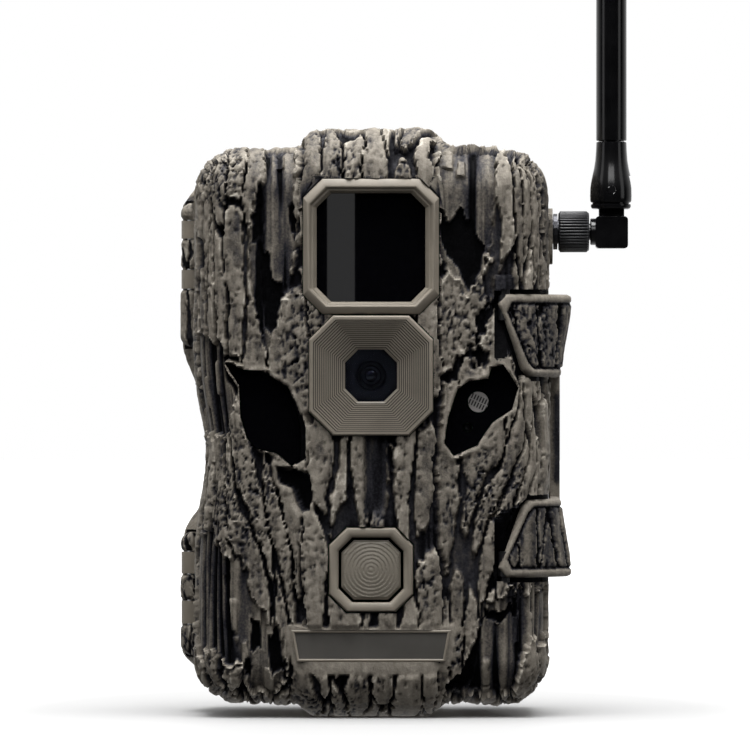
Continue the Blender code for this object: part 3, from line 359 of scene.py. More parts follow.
def recess(u, v, height, paint, outline, depth):
    """A hole painted dark inside, as painted shade, with a raised, paler edge round it that is partly worn
    edge and partly painted highlight.
    """
    reach = outside(u + 0.3 * noise(u / 2, v / 2, 301), v + 0.3 * noise(u / 2, v / 2, 302), outline)
    inside = smooth(0.2, -0.5, reach)
    # The raised edge round the hole is paler: partly worn edge, partly painted highlight.
    wear_and_highlight_lip = np.exp(-(((reach - 0.9) / 0.6) ** 2))
    height = height * (1 - inside) - depth * inside
    height = height * (1 - wear_and_highlight_lip) + np.maximum(height, 0.45) * wear_and_highlight_lip
    # Inside, the paint goes to 0, near black: painted shade in the hole.
    return height, paint * (1 - inside) * (1 - wear_and_highlight_lip) + 0.8 * wear_and_highlight_lip * (1 - inside)


def front_bark(u, v):
    """Bark on the front shell: peeled places, a furrow below the lens, three holes and the plate's seat."""
    height, paint = peel(u, v, *bark(u, v))
    from_furrow = np.abs(u - 1.3 + 0.6 * noise(u / 3, v / 6, 310))
    wide_furrow = smooth(3.4, 2.2, from_furrow) * smooth(48, 53, v) * smooth(72, 70, v)
    height = height * (1 - wide_furrow) + wide_furrow * (-1.3 + 0.4 * noise(u / 1.6, v / 20, 311))
    paint = paint * (1 - wide_furrow) + wide_furrow * (0.27 + 0.14 * noise(u / 1.2, v / 12, 312))
    height, paint = recess(u, v, height, paint, KNOT_OUTLINE, 2.2)
    height, paint = recess(u, v, height, paint, SENSOR_OUTLINE, 2.2)
    height, paint = recess(u, v, height, paint, LOWER_KNOT, 2.4)
    beside_pivot = smooth(4.0, 2.4, np.abs(u - LATCH_PIVOT[0]))
    over_pivot = beside_pivot * smooth(5.0, 3.4, np.abs(np.abs(v - LATCH_MIDDLE) - 36.5))
    height = np.maximum(height, -0.2 * over_pivot - 9.0 * (1 - over_pivot))
    frame_reach = outside(u, v, PLATE_OUTLINE)
    rim = smooth(1.9, 1.2, frame_reach)
    height = height * (1 - rim) + 0.3 * rim
    return height, paint * (1 - rim) + TRIM_PAINT * rim


def rear_bark(u, v):
    """Bark on the rear housing, which swells out behind each hinge."""
    height, paint = bark(u, v, 400)
    swell = np.zeros(np.shape(u))
    tapers = ((13.0, 5.0), (3.5, 8.0))
    for (low_z, high_z), (taper_below, taper_above) in zip(HINGE_SPANS, tapers):
        from_below = smooth(low_z - taper_below, low_z + 1.0, v)
        swell = np.maximum(swell, from_below * smooth(high_z + taper_above, high_z - 1.0, v))
    from_parting = np.abs(-u - HALF_WIDTH - CASE_DEPTH)
    swell = swell * smooth(HALF_WIDTH - 2.0, HALF_WIDTH, -u)
    swell = swell * smooth(CASE_DEPTH * 0.75, CASE_DEPTH * 0.25, from_parting)
    return height * (1 - 0.7 * swell) + HINGE_SWELL * swell, paint


# ---------------------------------------------------------------- meshes

def case_form(x, y, z):
    """Bends the plain rounded box into the case: the waist, the brow, the foot and the raised band."""
    waist = WAIST_DEPTH / HALF_WIDTH * np.exp(-(((z - WAIST_Z) / WAIST_SPAN) ** 2))
    x = np.where(x < 0, x * (1 - waist), x)
    band = 1 - smooth(SPINE_FLAT, SPINE_EDGE, np.abs(x))
    above = np.maximum(0.0, (z - CASE_MIDDLE) / (CASE_TOP - CASE_MIDDLE))
    below = np.maximum(0.0, (CASE_MIDDLE - z) / (CASE_MIDDLE - CASE_BOTTOM))
    forward = np.maximum(0.0, (PARTING_Y - y) / CASE_DEPTH)
    lift = band * (BROW_RISE * above**4 - FOOT_DROP * below**4)
    return np.stack((x, y - SPINE_PROUD * band * forward**2, z + lift), axis=-1)


def grid_lines(start, end, pitch):
    return np.linspace(start, end, max(2, round(abs(end - start) / pitch) + 1))


def faces_inward(block, centre):
    """Whether the first face of a block of points, taken down its rows first, looks towards a centre."""
    normal = np.cross(block[1, 0] - block[0, 0], block[0, 1] - block[0, 0])
    return float(np.dot(normal, np.asarray(centre) - block[0, 0])) > 0


def case_half(face_y, open_y, inset, pitch):
    """One half of the case: its points on the box before rounding and after, its quads, and its depth."""
    radius, half_width = CORNER_R - inset, HALF_WIDTH - inset
    low_z, high_z = CASE_BOTTOM + inset, CASE_TOP - inset
    inward = 1.0 if open_y > face_y else -1.0
    depth = abs(open_y - face_y) - inset
    xs = grid_lines(-half_width, half_width, pitch[0])
    zs = grid_lines(low_z, high_z, pitch[1])
    ds = grid_lines(0.0, depth, pitch[2])
    sheets = [(xs, ds[:1], zs)]
    sheets += [(side, ds, zs) for side in (xs[:1], xs[-1:])]
    sheets += [(xs, ds, end) for end in (zs[:1], zs[-1:])]
    flat, quads, start = [], [], 0
    for sheet in sheets:
        block = np.stack(np.meshgrid(*sheet, indexing="ij"), axis=-1).squeeze()
        rows, columns = block.shape[:2]
        index = start + np.arange(rows * columns).reshape(rows, columns)
        faces = np.stack((index[:-1, :-1], index[1:, :-1], index[1:, 1:], index[:-1, 1:]), -1).reshape(-1, 4)
        if faces_inward(block, (0.0, depth, CASE_MIDDLE)) == (inward > 0):
            faces = faces[:, ::-1]
        quads.append(faces)
        flat.append(block.reshape(-1, 3))
        start += rows * columns
    flat, quads = np.concatenate(flat), np.concatenate(quads)
    micrometres = np.round(flat * 1000).astype(np.int64)
    _, keep, same_as = np.unique(micrometres, axis=0, return_index=True, return_inverse=True)
    flat, quads = flat[keep], same_as.reshape(-1)[quads]
    core = np.stack((
        np.clip(flat[:, 0], radius - half_width, half_width - radius),
        np.maximum(flat[:, 1], radius),
        np.clip(flat[:, 2], low_z + radius, high_z - radius),
    ), axis=-1)
    away = flat - core
    round_place = core + away / np.linalg.norm(away, axis=1, keepdims=True) * radius
    y = face_y + inward * (inset + round_place[:, 1])
    return flat, case_form(round_place[:, 0], y, round_place[:, 2]), quads, depth


def charts(flat, half_width, low_z, high_z):
    """Two ways to unroll the case, round its sides or over its ends, and each point's share of the second."""
    x, d, z = flat.T
    side = np.sign(x)
    end_z = np.where(z > CASE_MIDDLE, high_z, low_z)
    outward = np.where(z > CASE_MIDDLE, 1.0, -1.0)
    to_end = np.abs(end_z - z)
    to_side = half_width - np.abs(x)
    on_side = to_side < 1e-6
    on_end = to_end < 1e-6
    band = 0.5 + 0.9 * np.minimum(d, 9.0)
    round_sides = np.stack((np.where(on_side | on_end, side * (half_width + d), x), z), -1)
    round_sides[on_end, 1] = (end_z + outward * to_side)[on_end]
    over_end = end_z + outward * d
    over_side = np.where(on_side, side * (half_width + to_end), x)
    over_ends = np.stack((over_side, np.where(on_end, over_end, z)), -1)
    over_ends[on_side, 1] = over_end[on_side]
    end_share = 1 - 0.5 * (1 - smooth(0, 1, to_side / band))
    side_share = 0.5 * (1 - smooth(0, 1, to_end / band))
    share = np.where(on_side & on_end, 0.5, np.where(on_end, end_share, side_share))
    plain = ~(on_side | on_end)
    round_sides[plain] = np.stack((x, z), -1)[plain]
    return round_sides, over_ends, np.where(plain, 0.0, share)


def store(mesh, name, values):
    """Stores a number at each point of a mesh, for its material to read."""
    attribute = mesh.attributes.new(name, "FLOAT", "POINT")
    attribute.data.foreach_set("value", np.asarray(values, np.float32))


def mesh_from(name, places, faces, paint=None):
    """A mesh in metres from places in millimetres."""
    mesh = bpy.data.meshes.new(name)
    mesh.from_pydata((np.asarray(places) * MM).tolist(), [], [list(map(int, face)) for face in faces])
    if paint is not None:
        store(mesh, "paint", paint)
    mesh.update()
    return mesh


def mesh_of(name, shape):
    """The mesh of a bmesh, which is freed."""
    mesh = bpy.data.meshes.new(name)
    shape.to_mesh(mesh)
    shape.free()
    return mesh


def merged(meshes):
    """Several closed meshes in one, with their faces turned outwards."""
    shape = bmesh.new()
    for mesh in meshes:
        shape.from_mesh(mesh)
    bmesh.ops.recalc_face_normals(shape, faces=shape.faces)
    return mesh_of("merged", shape)


def normals_of(places, quads):
    """The normal at each point, from the faces round it."""
    first, second, third, fourth = (places[quads[:, i]] for i in range(4))
    face_normals = np.cross(third - first, fourth - second)
    total = np.zeros_like(places)
    for corner in range(4):
        np.add.at(total, quads[:, corner], face_normals)
    return total / np.maximum(np.linalg.norm(total, axis=1, keepdims=True), 1e-9)


def bark_half(name, face_y, open_y, relief, pitch):
    """Half of the case as a closed solid with its bark relief, and paint stored at each point."""
    flat, places, quads, depth = case_half(face_y, open_y, 0.0, pitch)
    normals = normals_of(places, quads)
    sides, ends, share = charts(flat, HALF_WIDTH, CASE_BOTTOM, CASE_TOP)
    height, paint = relief(sides[:, 0], sides[:, 1])
    other = share > 0
    other_height, other_paint = relief(ends[other, 0], ends[other, 1])
    height[other] += share[other] * (other_height - height[other])
    paint[other] += share[other] * (other_paint - paint[other])
    to_rim = depth - flat[:, 1]
    height = height * (0.35 + 0.65 * smooth(0.2, 3.0, to_rim)) - 0.5 * smooth(0.9, 0.2, to_rim)
    on_foot = (normals[:, 2] < -0.7) & (places[:, 2] < CASE_BOTTOM)
    foot_relief = 0.15
    height = np.where(on_foot, np.minimum(height, foot_relief) - foot_relief, height)
    rim_y = places[:, 1].copy()
    places = places + normals * height[:, None]
    at_rim = to_rim < 1e-6
    places[at_rim, 1] = rim_y[at_rim]
    rim = rim_loop(flat, at_rim, open_y > face_y)
    border_width = 0.5
    inset = places[rim] - normals[rim] * border_width
    inset[:, 1] = rim_y[rim]
    edge = list(range(len(places), len(places) + len(rim)))
    border = [[rim[i - 1], rim[i], edge[i], edge[i - 1]] for i in range(len(rim))]
    paint = np.concatenate((paint, np.full(len(rim), INNER_PAINT)))
    return mesh_from(name, np.concatenate((places, inset)), [*quads.tolist(), *border, edge], paint)


def rim_loop(flat, at_rim, faces_back):
    """The points of the open edge in order round it, so that their face looks back or forward."""
    index = np.flatnonzero(at_rim)
    x = flat[index, 0] / HALF_WIDTH
    z = (flat[index, 2] - CASE_MIDDLE) / (CASE_TOP - CASE_MIDDLE)
    order = index[np.argsort(np.arctan2(z, x))].tolist()
    return order[::-1] if faces_back else order


def loft(rings, closed=False):
    """Quads between rings of points. Open lofts get end caps, and closed ones join last ring to first."""
    shape = bmesh.new()
    rows = [[shape.verts.new(point) for point in ring] for ring in rings]
    count = len(rows[0])
    pairs = list(zip(rows, rows[1:]))
    if closed:
        pairs.append((rows[-1], rows[0]))
    for near, far in pairs:
        for i in range(count):
            j = (i + 1) % count
            shape.faces.new((near[i], near[j], far[j], far[i]))
    if not closed:
        shape.faces.new(rows[0])
        shape.faces.new(rows[-1])
    bmesh.ops.recalc_face_normals(shape, faces=shape.faces)
    return shape


def several(*shapes):
    """Several shapes as one."""
    whole = bmesh.new()
    for shape in shapes:
        mesh = mesh_of("part_of_a_group", shape)
        whole.from_mesh(mesh)
        bpy.data.meshes.remove(mesh)
    return whole


def prism(outline, y_near, y_far):
    """An outline in X and Z, made solid along Y."""
    return loft([[(x, y, z) for x, z in outline] for y in (y_near, y_far)])


def upright_prism(outline, z_low, z_high):
    """An outline in X and Y, made solid along Z."""
    return loft([[(x, y, z) for x, y in outline] for z in (z_low, z_high)])


def box_shape(low_corner, high_corner):
    (x0, y0, z0), (x1, y1, z1) = low_corner, high_corner
    return prism(((x0, z0), (x1, z0), (x1, z1), (x0, z1)), y0, y1)


def turned_rings(profile, start, axis, segments):
    """Rings round an axis, from pairs of a radius and a distance along it from the start."""
    spin = Vector((0, 0, 1)).rotation_difference(Vector(axis)).to_matrix()
    rings = []
    for radius, along in profile:
        angles = [2 * math.pi * (i + 0.5) / segments for i in range(segments)]
        ring = [Vector((radius * math.cos(a), radius * math.sin(a), along)) for a in angles]
        rings.append([Vector(start) + spin @ point for point in ring])
    return rings


def turned(profile, start, axis, segments=48):
    return loft(turned_rings(profile, start, axis, segments))


def tube(profile, start, axis, segments):
    return loft(turned_rings(profile, start, axis, segments), closed=True)


def rod(radius, near, far, start, axis, segments=48):
    """A plain round bar between two distances along an axis."""
    return turned(((radius, near), (radius, far)), start, axis, segments)


def octagon(half_width, half_height, cut_size, centre_z):
    """A rectangle in X and Z with its corners cut off."""
    w, h, c = half_width, half_height, cut_size
    right = ((w, -h + c), (w, h - c), (w - c, h))
    left = ((-w + c, h), (-w, h - c), (-w, -h + c), (-w + c, -h))
    return [(x, centre_z + z) for x, z in (*right, *left, (w - c, -h))]


def octagon_frame(profile, centre_z):
    """A frame round an octagonal hole: a closed loop of half width, half height, corner cut, y and lift."""
    rings = []
    for half_width, half_height, cut_size, y, lift in profile:
        outline = octagon(half_width, half_height, cut_size, centre_z + lift)
        rings.append([(x, y, z) for x, z in outline])
    return loft(rings, closed=True)


def round_rectangle(half_width, half_height, radius, centre, steps=8):
    points = []
    for corner, (sx, sz) in enumerate(((1, 1), (-1, 1), (-1, -1), (1, -1))):
        for i in range(steps + 1):
            angle = math.pi / 2 * (corner + i / steps)
            x = sx * (half_width - radius) + radius * math.cos(angle)
            z = sz * (half_height - radius) + radius * math.sin(angle)
            points.append((centre[0] + x, centre[1] + z))
    return points


def panel_outline(margin):
    """The outline of the inner panel and the battery tray, with a margin round it."""
    sizes = (PANEL_HALF_WIDTH, PANEL_HALF_HEIGHT, PANEL_CORNER_R)
    return round_rectangle(*[size + margin for size in sizes], (0.0, CASE_MIDDLE))


def grown(outline, distance):
    """The outline moved outwards by a distance, with mitred corners."""
    here = [Vector(point) for point in outline]
    following = [*here[1:], here[0]]
    area = sum(a.x * b.y - b.x * a.y for a, b in zip(here, following))
    turn = 1.0 if area > 0 else -1.0
    ways = [(b - a).normalized() for a, b in zip(here, following)]
    outward = [Vector((way.y, -way.x)) * turn for way in ways]
    moved = []
    for i, point in enumerate(here):
        halfway = (outward[i - 1] + outward[i]).normalized()
        moved.append(tuple(point + halfway * distance / max(0.5, halfway.dot(outward[i]))))
    return moved


def coarse_half(face_y, open_y, inset):
    """The inside of one half of the case, as a plain solid to cut with."""
    flat, places, quads, depth = case_half(face_y, open_y, inset, INSIDE_PITCH)
    rim = rim_loop(flat, depth - flat[:, 1] < 1e-6, open_y > face_y)
    # mesh_from makes metres, and this shape has to stay in millimetres
    shape = bmesh.new()
    shape.from_mesh(mesh_from("inside", places / MM, [*quads.tolist(), rim]))
    return shape


def as_mesh(name, shape, paint=None):
    """A bmesh in millimetres as a mesh in metres, with one paint for all of it."""
    bmesh.ops.recalc_face_normals(shape, faces=shape.faces)
    shape.transform(Matrix.Scale(MM, 4))
    mesh = mesh_of(name, shape)
    if paint is not None:
        store(mesh, "paint", np.full(len(mesh.vertices), paint))
    return mesh


def placed(name, data):
    """A new object in the scene."""
    made = bpy.data.objects.new(name, data)
    bpy.context.scene.collection.objects.link(made)
    return made


def combined(mesh, *steps):
    """The mesh after a list of steps, each JOIN or CUT with a closed shape and the paint for its faces."""
    target = placed("being_cut", mesh)
    helpers = []
    for i, (action, shape, paint) in enumerate(steps):
        helper = placed(f"helper_{i}", as_mesh(f"helper_{i}", shape, paint))
        modifier = target.modifiers.new(f"Step {i}", "BOOLEAN")
        modifier.operation = "UNION" if action == JOIN else "DIFFERENCE"
        modifier.solver = "MANIFOLD"
        modifier.object = helper
        helpers.append(helper)
    evaluated = target.evaluated_get(bpy.context.evaluated_depsgraph_get())
    result = bpy.data.meshes.new_from_object(evaluated)
    for helper in [*helpers, target]:
        bpy.data.objects.remove(helper)
    if "paint" in result.attributes:
        mend_paint(result)
    return result


def mend_paint(mesh):
    """Gives the points that a Boolean made, which have no paint, the mean of their painted neighbours."""
    paint = np.zeros(len(mesh.vertices), np.float32)
    mesh.attributes["paint"].data.foreach_get("value", paint)
    ends = np.zeros(len(mesh.edges) * 2, np.int32)
    mesh.edges.foreach_get("vertices", ends)
    here = np.concatenate((ends[0::2], ends[1::2]))
    there = np.concatenate((ends[1::2], ends[0::2]))
    total = np.bincount(here, paint[there], len(paint))
    painted = np.bincount(here, paint[there] > 0, len(paint))
    bare = (paint == 0) & (painted > 0)
    paint[bare] = total[bare] / painted[bare]
    mesh.attributes["paint"].data.foreach_set("value", paint)


def piece(name, mesh, body, material, replaces=(), crease=35.0, bevel=0.0):
    """Makes a mesh in metres into a piece that rides on a body and stands for the CAD nodes named."""
    mesh.name = name
    mesh.materials.clear()
    mesh.materials.append(material)
    mesh.shade_smooth()
    mesh.set_sharp_from_angle(angle=math.radians(crease))
    made = placed(name, mesh)
    if bevel:
        soften(made, bevel)
    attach(made, body)
    if replaces:
        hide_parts(*replaces)
    return made


def soften(made, width):
    """Rounds the sharp edges of an object."""
    modifier = made.modifiers.new("Soft edges", "BEVEL")
    modifier.width = width * MM
    modifier.segments = 2
    modifier.limit_method = "ANGLE"
    modifier.angle_limit = math.radians(40)
    modifier.harden_normals = False


# ---------------------------------------------------------------- materials

def new_material(name, colour, roughness, metallic=0.0, **sockets):
    """A material, its nodes, and its shader."""
    material = bpy.data.materials.new(name)
    material.use_nodes = True
    shader = material.node_tree.nodes["Principled BSDF"]
    shader.inputs["Base Color"].default_value = (*colour, 1.0)
    shader.inputs["Roughness"].default_value = roughness
    shader.inputs["Metallic"].default_value = metallic
    for socket, value in sockets.items():
        shader.inputs[socket.replace("_", " ")].default_value = value
    return material, material.node_tree, shader


def add(tree, kind, inputs=None, **settings):
    """A shader node, with its settings, and with its inputs set to values or linked to sockets."""
    made = tree.nodes.new(kind)
    for setting, value in settings.items():
        setattr(made, setting, value)
    for socket, value in (inputs or {}).items():
        if isinstance(value, bpy.types.NodeSocket):
            tree.links.new(value, made.inputs[socket])
        else:
            made.inputs[socket].default_value = value
    return made


def drive(tree, value, shader, socket="Base Color"):
    """Links a value to one input of a shader."""
    tree.links.new(value, shader.inputs[socket])


def place(tree, stretch=(1.0, 1.0, 1.0)):
    """Object coordinates, stretched."""
    where = add(tree, "ShaderNodeTexCoord").outputs["Object"]
    return add(tree, "ShaderNodeMapping", {"Vector": where, "Scale": stretch}).outputs["Vector"]


def grain(tree, scale, detail=4.0, roughness=0.6, stretch=(1.0, 1.0, 1.0)):
    """Noise in the material, with its scale in features to the metre."""
    inputs = {"Vector": place(tree, stretch), "Scale": scale, "Detail": detail, "Roughness": roughness}
    return add(tree, "ShaderNodeTexNoise", inputs).outputs["Fac"]


def ramp(tree, value, stops):
    """The colour for a value, from stops of a position and a colour."""
    made = add(tree, "ShaderNodeValToRGB", {"Fac": value})
    elements = made.color_ramp.elements
    while len(elements) < len(stops):
        elements.new(0.5)
    for element, (position, colour) in zip(elements, stops):
        element.position = position
        element.color = (*colour, 1.0)
    return made.outputs["Color"]


def remap(tree, value, from_low, from_high, to_low, to_high):
    """The value moved from one range to another, and kept inside it."""
    limits = {"From Min": from_low, "From Max": from_high, "To Min": to_low, "To Max": to_high}
    return add(tree, "ShaderNodeMapRange", {"Value": value, **limits}).outputs["Result"]


def maths(tree, operation, first, second=0.0):
    """One sum on one or two values or sockets."""
    return add(tree, "ShaderNodeMath", {0: first, 1: second}, operation=operation).outputs["Value"]


def bump(tree, shader, height, distance, strength):
    """Small relief from a height, in the material only."""
    made = add(tree, "ShaderNodeBump", {"Height": height, "Distance": distance * MM, "Strength": strength})
    drive(tree, made.outputs["Normal"], shader, "Normal")


def bark_material():
    """Two paints over moulded bark: slate and black in the furrows, and tan wiped over all that stands up.
    The black deep in the furrows is partly painted shade, and the pale edges of the plates are partly painted
    highlight.
    """
    material, tree, shader = new_material("bark", (0.16, 0.14, 0.11), 0.62, Specular_IOR_Level=0.3)
    paint = add(tree, "ShaderNodeAttribute", attribute_name="paint").outputs["Fac"]
    fine = grain(tree, 1500.0, 5.0, 0.7)
    blotch = grain(tree, 420.0, 3.0, 0.6, (1.0, 1.0, 0.35))
    fine_mottle = remap(tree, fine, 0.25, 0.75, -0.13, 0.13)
    mottle = maths(tree, "ADD", fine_mottle, remap(tree, blotch, 0.3, 0.7, -0.12, 0.12))
    mottle = maths(tree, "MULTIPLY", mottle, remap(tree, paint, 0.0, 0.35, 0.1, 1.0))
    broken = maths(tree, "ADD", paint, mottle)
    # The lowest stops are near black: the furrows' dark paint, deepened there into painted shade.
    colour = ramp(tree, broken, (
        (0.00, (0.0012, 0.0012, 0.0016)),
        (0.14, (0.0060, 0.0060, 0.0078)),
        (0.26, (0.018, 0.018, 0.023)),
        (0.38, (0.042, 0.037, 0.034)),
        (0.48, (0.090, 0.079, 0.065)),
        (0.60, (0.155, 0.137, 0.112)),
        (0.80, (0.225, 0.202, 0.168)),
        (0.98, (0.380, 0.350, 0.300)),
    ))
    drive(tree, colour, shader)
    drive(tree, remap(tree, broken, 0.2, 0.8, 0.6, 0.7), shader, "Roughness")
    drive(tree, remap(tree, broken, 0.1, 0.4, 0.03, 0.3), shader, "Specular IOR Level")
    inputs = {"Vector": place(tree, (1.0, 1.0, 0.55)), "Scale": 900.0, "Smoothness": 0.6}
    worms = add(tree, "ShaderNodeTexVoronoi", inputs, feature="SMOOTH_F1").outputs["Distance"]
    relief = maths(tree, "ADD", maths(tree, "ADD", fine, blotch), maths(tree, "MULTIPLY", worms, -0.8))
    bump(tree, shader, relief, 0.25, 0.7)
    return material


def moulded_material(name, colour, roughness, texture=0.05, spread=0.12):
    """Fine-textured plastic, a little uneven in colour and gloss, and painted dark where a piece stores
    shaded_groove: painted shade in steps and channels.
    """
    material, tree, shader = new_material(name, colour, roughness, Specular_IOR_Level=0.4)
    drift = grain(tree, 130.0, 3.0)
    darker = tuple(c * (1 - spread) for c in colour)
    paler = tuple(min(1.0, c * (1 + spread)) for c in colour)
    even = ramp(tree, drift, ((0.3, darker), (0.7, paler)))
    # A piece's shaded_groove number mixes in a colour near black: painted shade.
    shaded_groove = add(tree, "ShaderNodeAttribute", attribute_name="shaded_groove").outputs["Fac"]
    mixed = add(tree, "ShaderNodeMix", {"Factor": shaded_groove}, data_type="RGBA")
    tree.links.new(even, mixed.inputs["A"])
    mixed.inputs["B"].default_value = (*[c * 0.12 for c in colour], 1.0)
    drive(tree, mixed.outputs["Result"], shader)
    drive(tree, remap(tree, drift, 0.3, 0.7, roughness - 0.06, roughness + 0.06), shader, "Roughness")
    bump(tree, shader, grain(tree, 5200.0, 2.0), texture, 0.5)
    return material


def window_material():
    """Glossy infrared-pass plastic, nearly black."""
    base = (0.002, 0.002, 0.003)
    material, tree, shader = new_material("dark_window", base, 0.006, Specular_IOR_Level=0.5)
    haze = grain(tree, 900.0, 6.0, 0.8)
    drive(tree, ramp(tree, haze, ((0.45, (0.0012, 0.0012, 0.0018)), (0.8, (0.0030, 0.0030, 0.0040)))), shader)
    return material


def glass_material(name, colour):
    """Clear moulding with a slightly uneven tint."""
    material, tree, shader = new_material(name, colour, 0.03, Transmission_Weight=1.0, IOR=1.45)
    paler = tuple(c * 1.15 for c in colour)
    drive(tree, ramp(tree, grain(tree, 60.0, 2.0), ((0.3, colour), (0.7, paler))), shader)
    return material


def metal_material(name, colour, roughness):
    """Plated or turned metal with fine tool marks."""
    material, tree, shader = new_material(name, colour, roughness, 1.0)
    marks = grain(tree, 1800.0, 3.0, 0.6, (1.0, 1.0, 12.0))
    darker = tuple(c * 0.8 for c in colour)
    drive(tree, ramp(tree, marks, ((0.3, darker), (0.7, colour))), shader)
    drive(tree, remap(tree, marks, 0.3, 0.7, roughness - 0.08, roughness + 0.1), shader, "Roughness")
    bump(tree, shader, marks, 0.03, 0.4)
    return material


def board_material():
    """Green solder mask with paler tracks and pads."""
    material, tree, shader = new_material("circuit_board", (0.01, 0.09, 0.04), 0.4)
    tracks = add(tree, "ShaderNodeTexBrick", {
        "Vector": place(tree), "Scale": 300.0, "Mortar Size": 0.06, "Color1": (0.008, 0.07, 0.03, 1),
        "Color2": (0.006, 0.055, 0.026, 1), "Mortar": (0.03, 0.16, 0.07, 1),
    })
    drive(tree, tracks.outputs["Color"], shader)
    bump(tree, shader, tracks.outputs["Fac"], 0.05, 0.3)
    return material


def cell_material():
    """Printed film on the battery cells: dark along most of the length, and copper at the positive end."""
    material, tree, shader = new_material("cell_wrap", (0.02, 0.022, 0.026), 0.25, Coat_Weight=0.4)
    row = (high("battery_cell_5").z - high("battery_cell_1").z) * MM
    height = add(tree, "ShaderNodeSeparateXYZ", {"Vector": place(tree)}).outputs["Z"]
    along = maths(tree, "DIVIDE", maths(tree, "SUBTRACT", height, low("battery_cell_1").z * MM), row)
    along = maths(tree, "FRACT", along)
    film, copper, bare = (0.018, 0.02, 0.024), (0.42, 0.19, 0.07), (0.5, 0.5, 0.5)
    stops = ((0.0, film), (0.70, film), (0.715, copper), (0.955, copper), (0.96, bare))
    drive(tree, ramp(tree, along, stops), shader)
    bump(tree, shader, grain(tree, 700.0, 2.0), 0.03, 0.3)
    return material


def ceramic_material():
    """A light-dependent resistor: a pale fired disc with two rows of dark fingers across its middle."""
    material, tree, shader = new_material("ceramic", (0.2, 0.19, 0.18), 0.4, Coat_Weight=0.6)
    in_box = add(tree, "ShaderNodeTexCoord").outputs["Generated"]
    settings = {"Vector": in_box, "Location": (0.5, 0.5, 0.5), "Rotation": (0.0, math.radians(25), 0.0)}
    turned_place = add(tree, "ShaderNodeMapping", settings, vector_type="TEXTURE").outputs["Vector"]
    along = add(tree, "ShaderNodeSeparateXYZ", {"Vector": turned_place}).outputs
    wave = maths(tree, "SINE", maths(tree, "MULTIPLY", along["X"], 44.0))
    from_middle = maths(tree, "ABSOLUTE", along["Z"])
    inside_rows = remap(tree, from_middle, 0.27, 0.31, 1.0, 0.0)
    rows = maths(tree, "MULTIPLY", inside_rows, remap(tree, from_middle, 0.01, 0.04, 0.0, 1.0))
    fingers = maths(tree, "MULTIPLY", rows, remap(tree, wave, -0.3, 0.2, 0.0, 1.0))
    drive(tree, ramp(tree, fingers, ((0.0, (0.24, 0.23, 0.22)), (1.0, (0.008, 0.007, 0.008)))), shader)
    return material


BARK = bark_material()
TAN = moulded_material("tan_plastic", (0.190, 0.167, 0.134), 0.5)
PLATE_TAN = moulded_material("plate_tan", (0.060, 0.056, 0.050), 0.5)
BLACK = moulded_material("black_plastic", (0.012, 0.012, 0.013), 0.3, 0.03, 0.3)
GLOSS_BLACK = moulded_material("gloss_black", (0.003, 0.003, 0.0034), 0.16, 0.008, 0.3)
RUBBER = moulded_material("rubber", (0.022, 0.022, 0.023), 0.75, 0.06, 0.25)
GREY_RUBBER = moulded_material("grey_rubber", (0.16, 0.16, 0.165), 0.65, 0.06, 0.1)
LENS_TAN = moulded_material("lens_tan", (0.165, 0.148, 0.120), 0.38, 0.02, 0.06)
NAVY_BLACK = moulded_material("navy_black", (0.010, 0.010, 0.015), 0.5, 0.02, 0.2)
NUT_BLACK = moulded_material("nut_black", (0.016, 0.016, 0.018), 0.34, 0.02, 0.3)
WINDOW = window_material()
SCREEN = moulded_material("screen", (0.02, 0.028, 0.03), 0.08, 0.0, 0.3)
GLASS = glass_material("glass", (0.42, 0.45, 0.52))
COATED_GLASS = glass_material("coated_glass", (0.30, 0.28, 0.46))
STEEL = metal_material("steel", (0.55, 0.55, 0.56), 0.3)
BLACK_METAL = metal_material("black_metal", (0.05, 0.05, 0.055), 0.32)
DARK_STEEL = metal_material("dark_steel", (0.012, 0.012, 0.013), 0.5)
BRASS = metal_material("brass", (0.78, 0.57, 0.27), 0.28)
BOARD = board_material()
CELL = cell_material()
CERAMIC = ceramic_material()


# ---------------------------------------------------------------- camera, light and floor

def make_camera():
    """A camera in front of the case, far enough away to show it nearly without perspective."""
    data = bpy.data.cameras.new("camera")
    distance, frame_size = 2.0, 0.1875
    centre_x, centre_z = 0.001, 0.08575
    data.sensor_width = 36.0
    data.lens = data.sensor_width * distance / frame_size
    data.clip_start = 0.05
    data.clip_end = 30.0
    camera = placed("camera", data)
    camera.location = (centre_x, BAND_FACE_Y * MM - distance, centre_z)
    camera.rotation_euler = (math.radians(90), 0.0, 0.0)
    bpy.context.scene.camera = camera


def make_light(name, place_at, aim, size, power):
    data = bpy.data.lights.new(name, "AREA")
    data.shape = "RECTANGLE"
    data.size, data.size_y = size
    data.energy = power
    light = placed(name, data)
    light.location = place_at
    light.rotation_euler = (Vector(aim) - Vector(place_at)).to_track_quat("-Z", "Y").to_euler()


def make_world():
    """White to the camera. To the object it is bright behind and overhead, dim below, and dark in front."""
    world = bpy.data.worlds.new("studio")
    world.use_nodes = True
    tree = world.node_tree
    background = tree.nodes["Background"]
    towards = add(tree, "ShaderNodeTexCoord").outputs["Generated"]
    direction = add(tree, "ShaderNodeSeparateXYZ", {"Vector": towards}).outputs
    behind = remap(tree, direction["Y"], -0.1, 0.6, 0.0, 1.0)
    above = remap(tree, direction["Z"], 0.08, 0.9, 0.0, 0.55)
    below = remap(tree, direction["Z"], -0.1, -0.9, 0.0, 0.14)
    strength = maths(tree, "ADD", maths(tree, "ADD", behind, above), below)
    seen = add(tree, "ShaderNodeLightPath").outputs["Is Camera Ray"]
    strength = maths(tree, "MAXIMUM", strength, seen)
    background.inputs["Color"].default_value = (1.0, 1.0, 1.0, 1.0)
    tree.links.new(strength, background.inputs["Strength"])
    bpy.context.scene.world = world


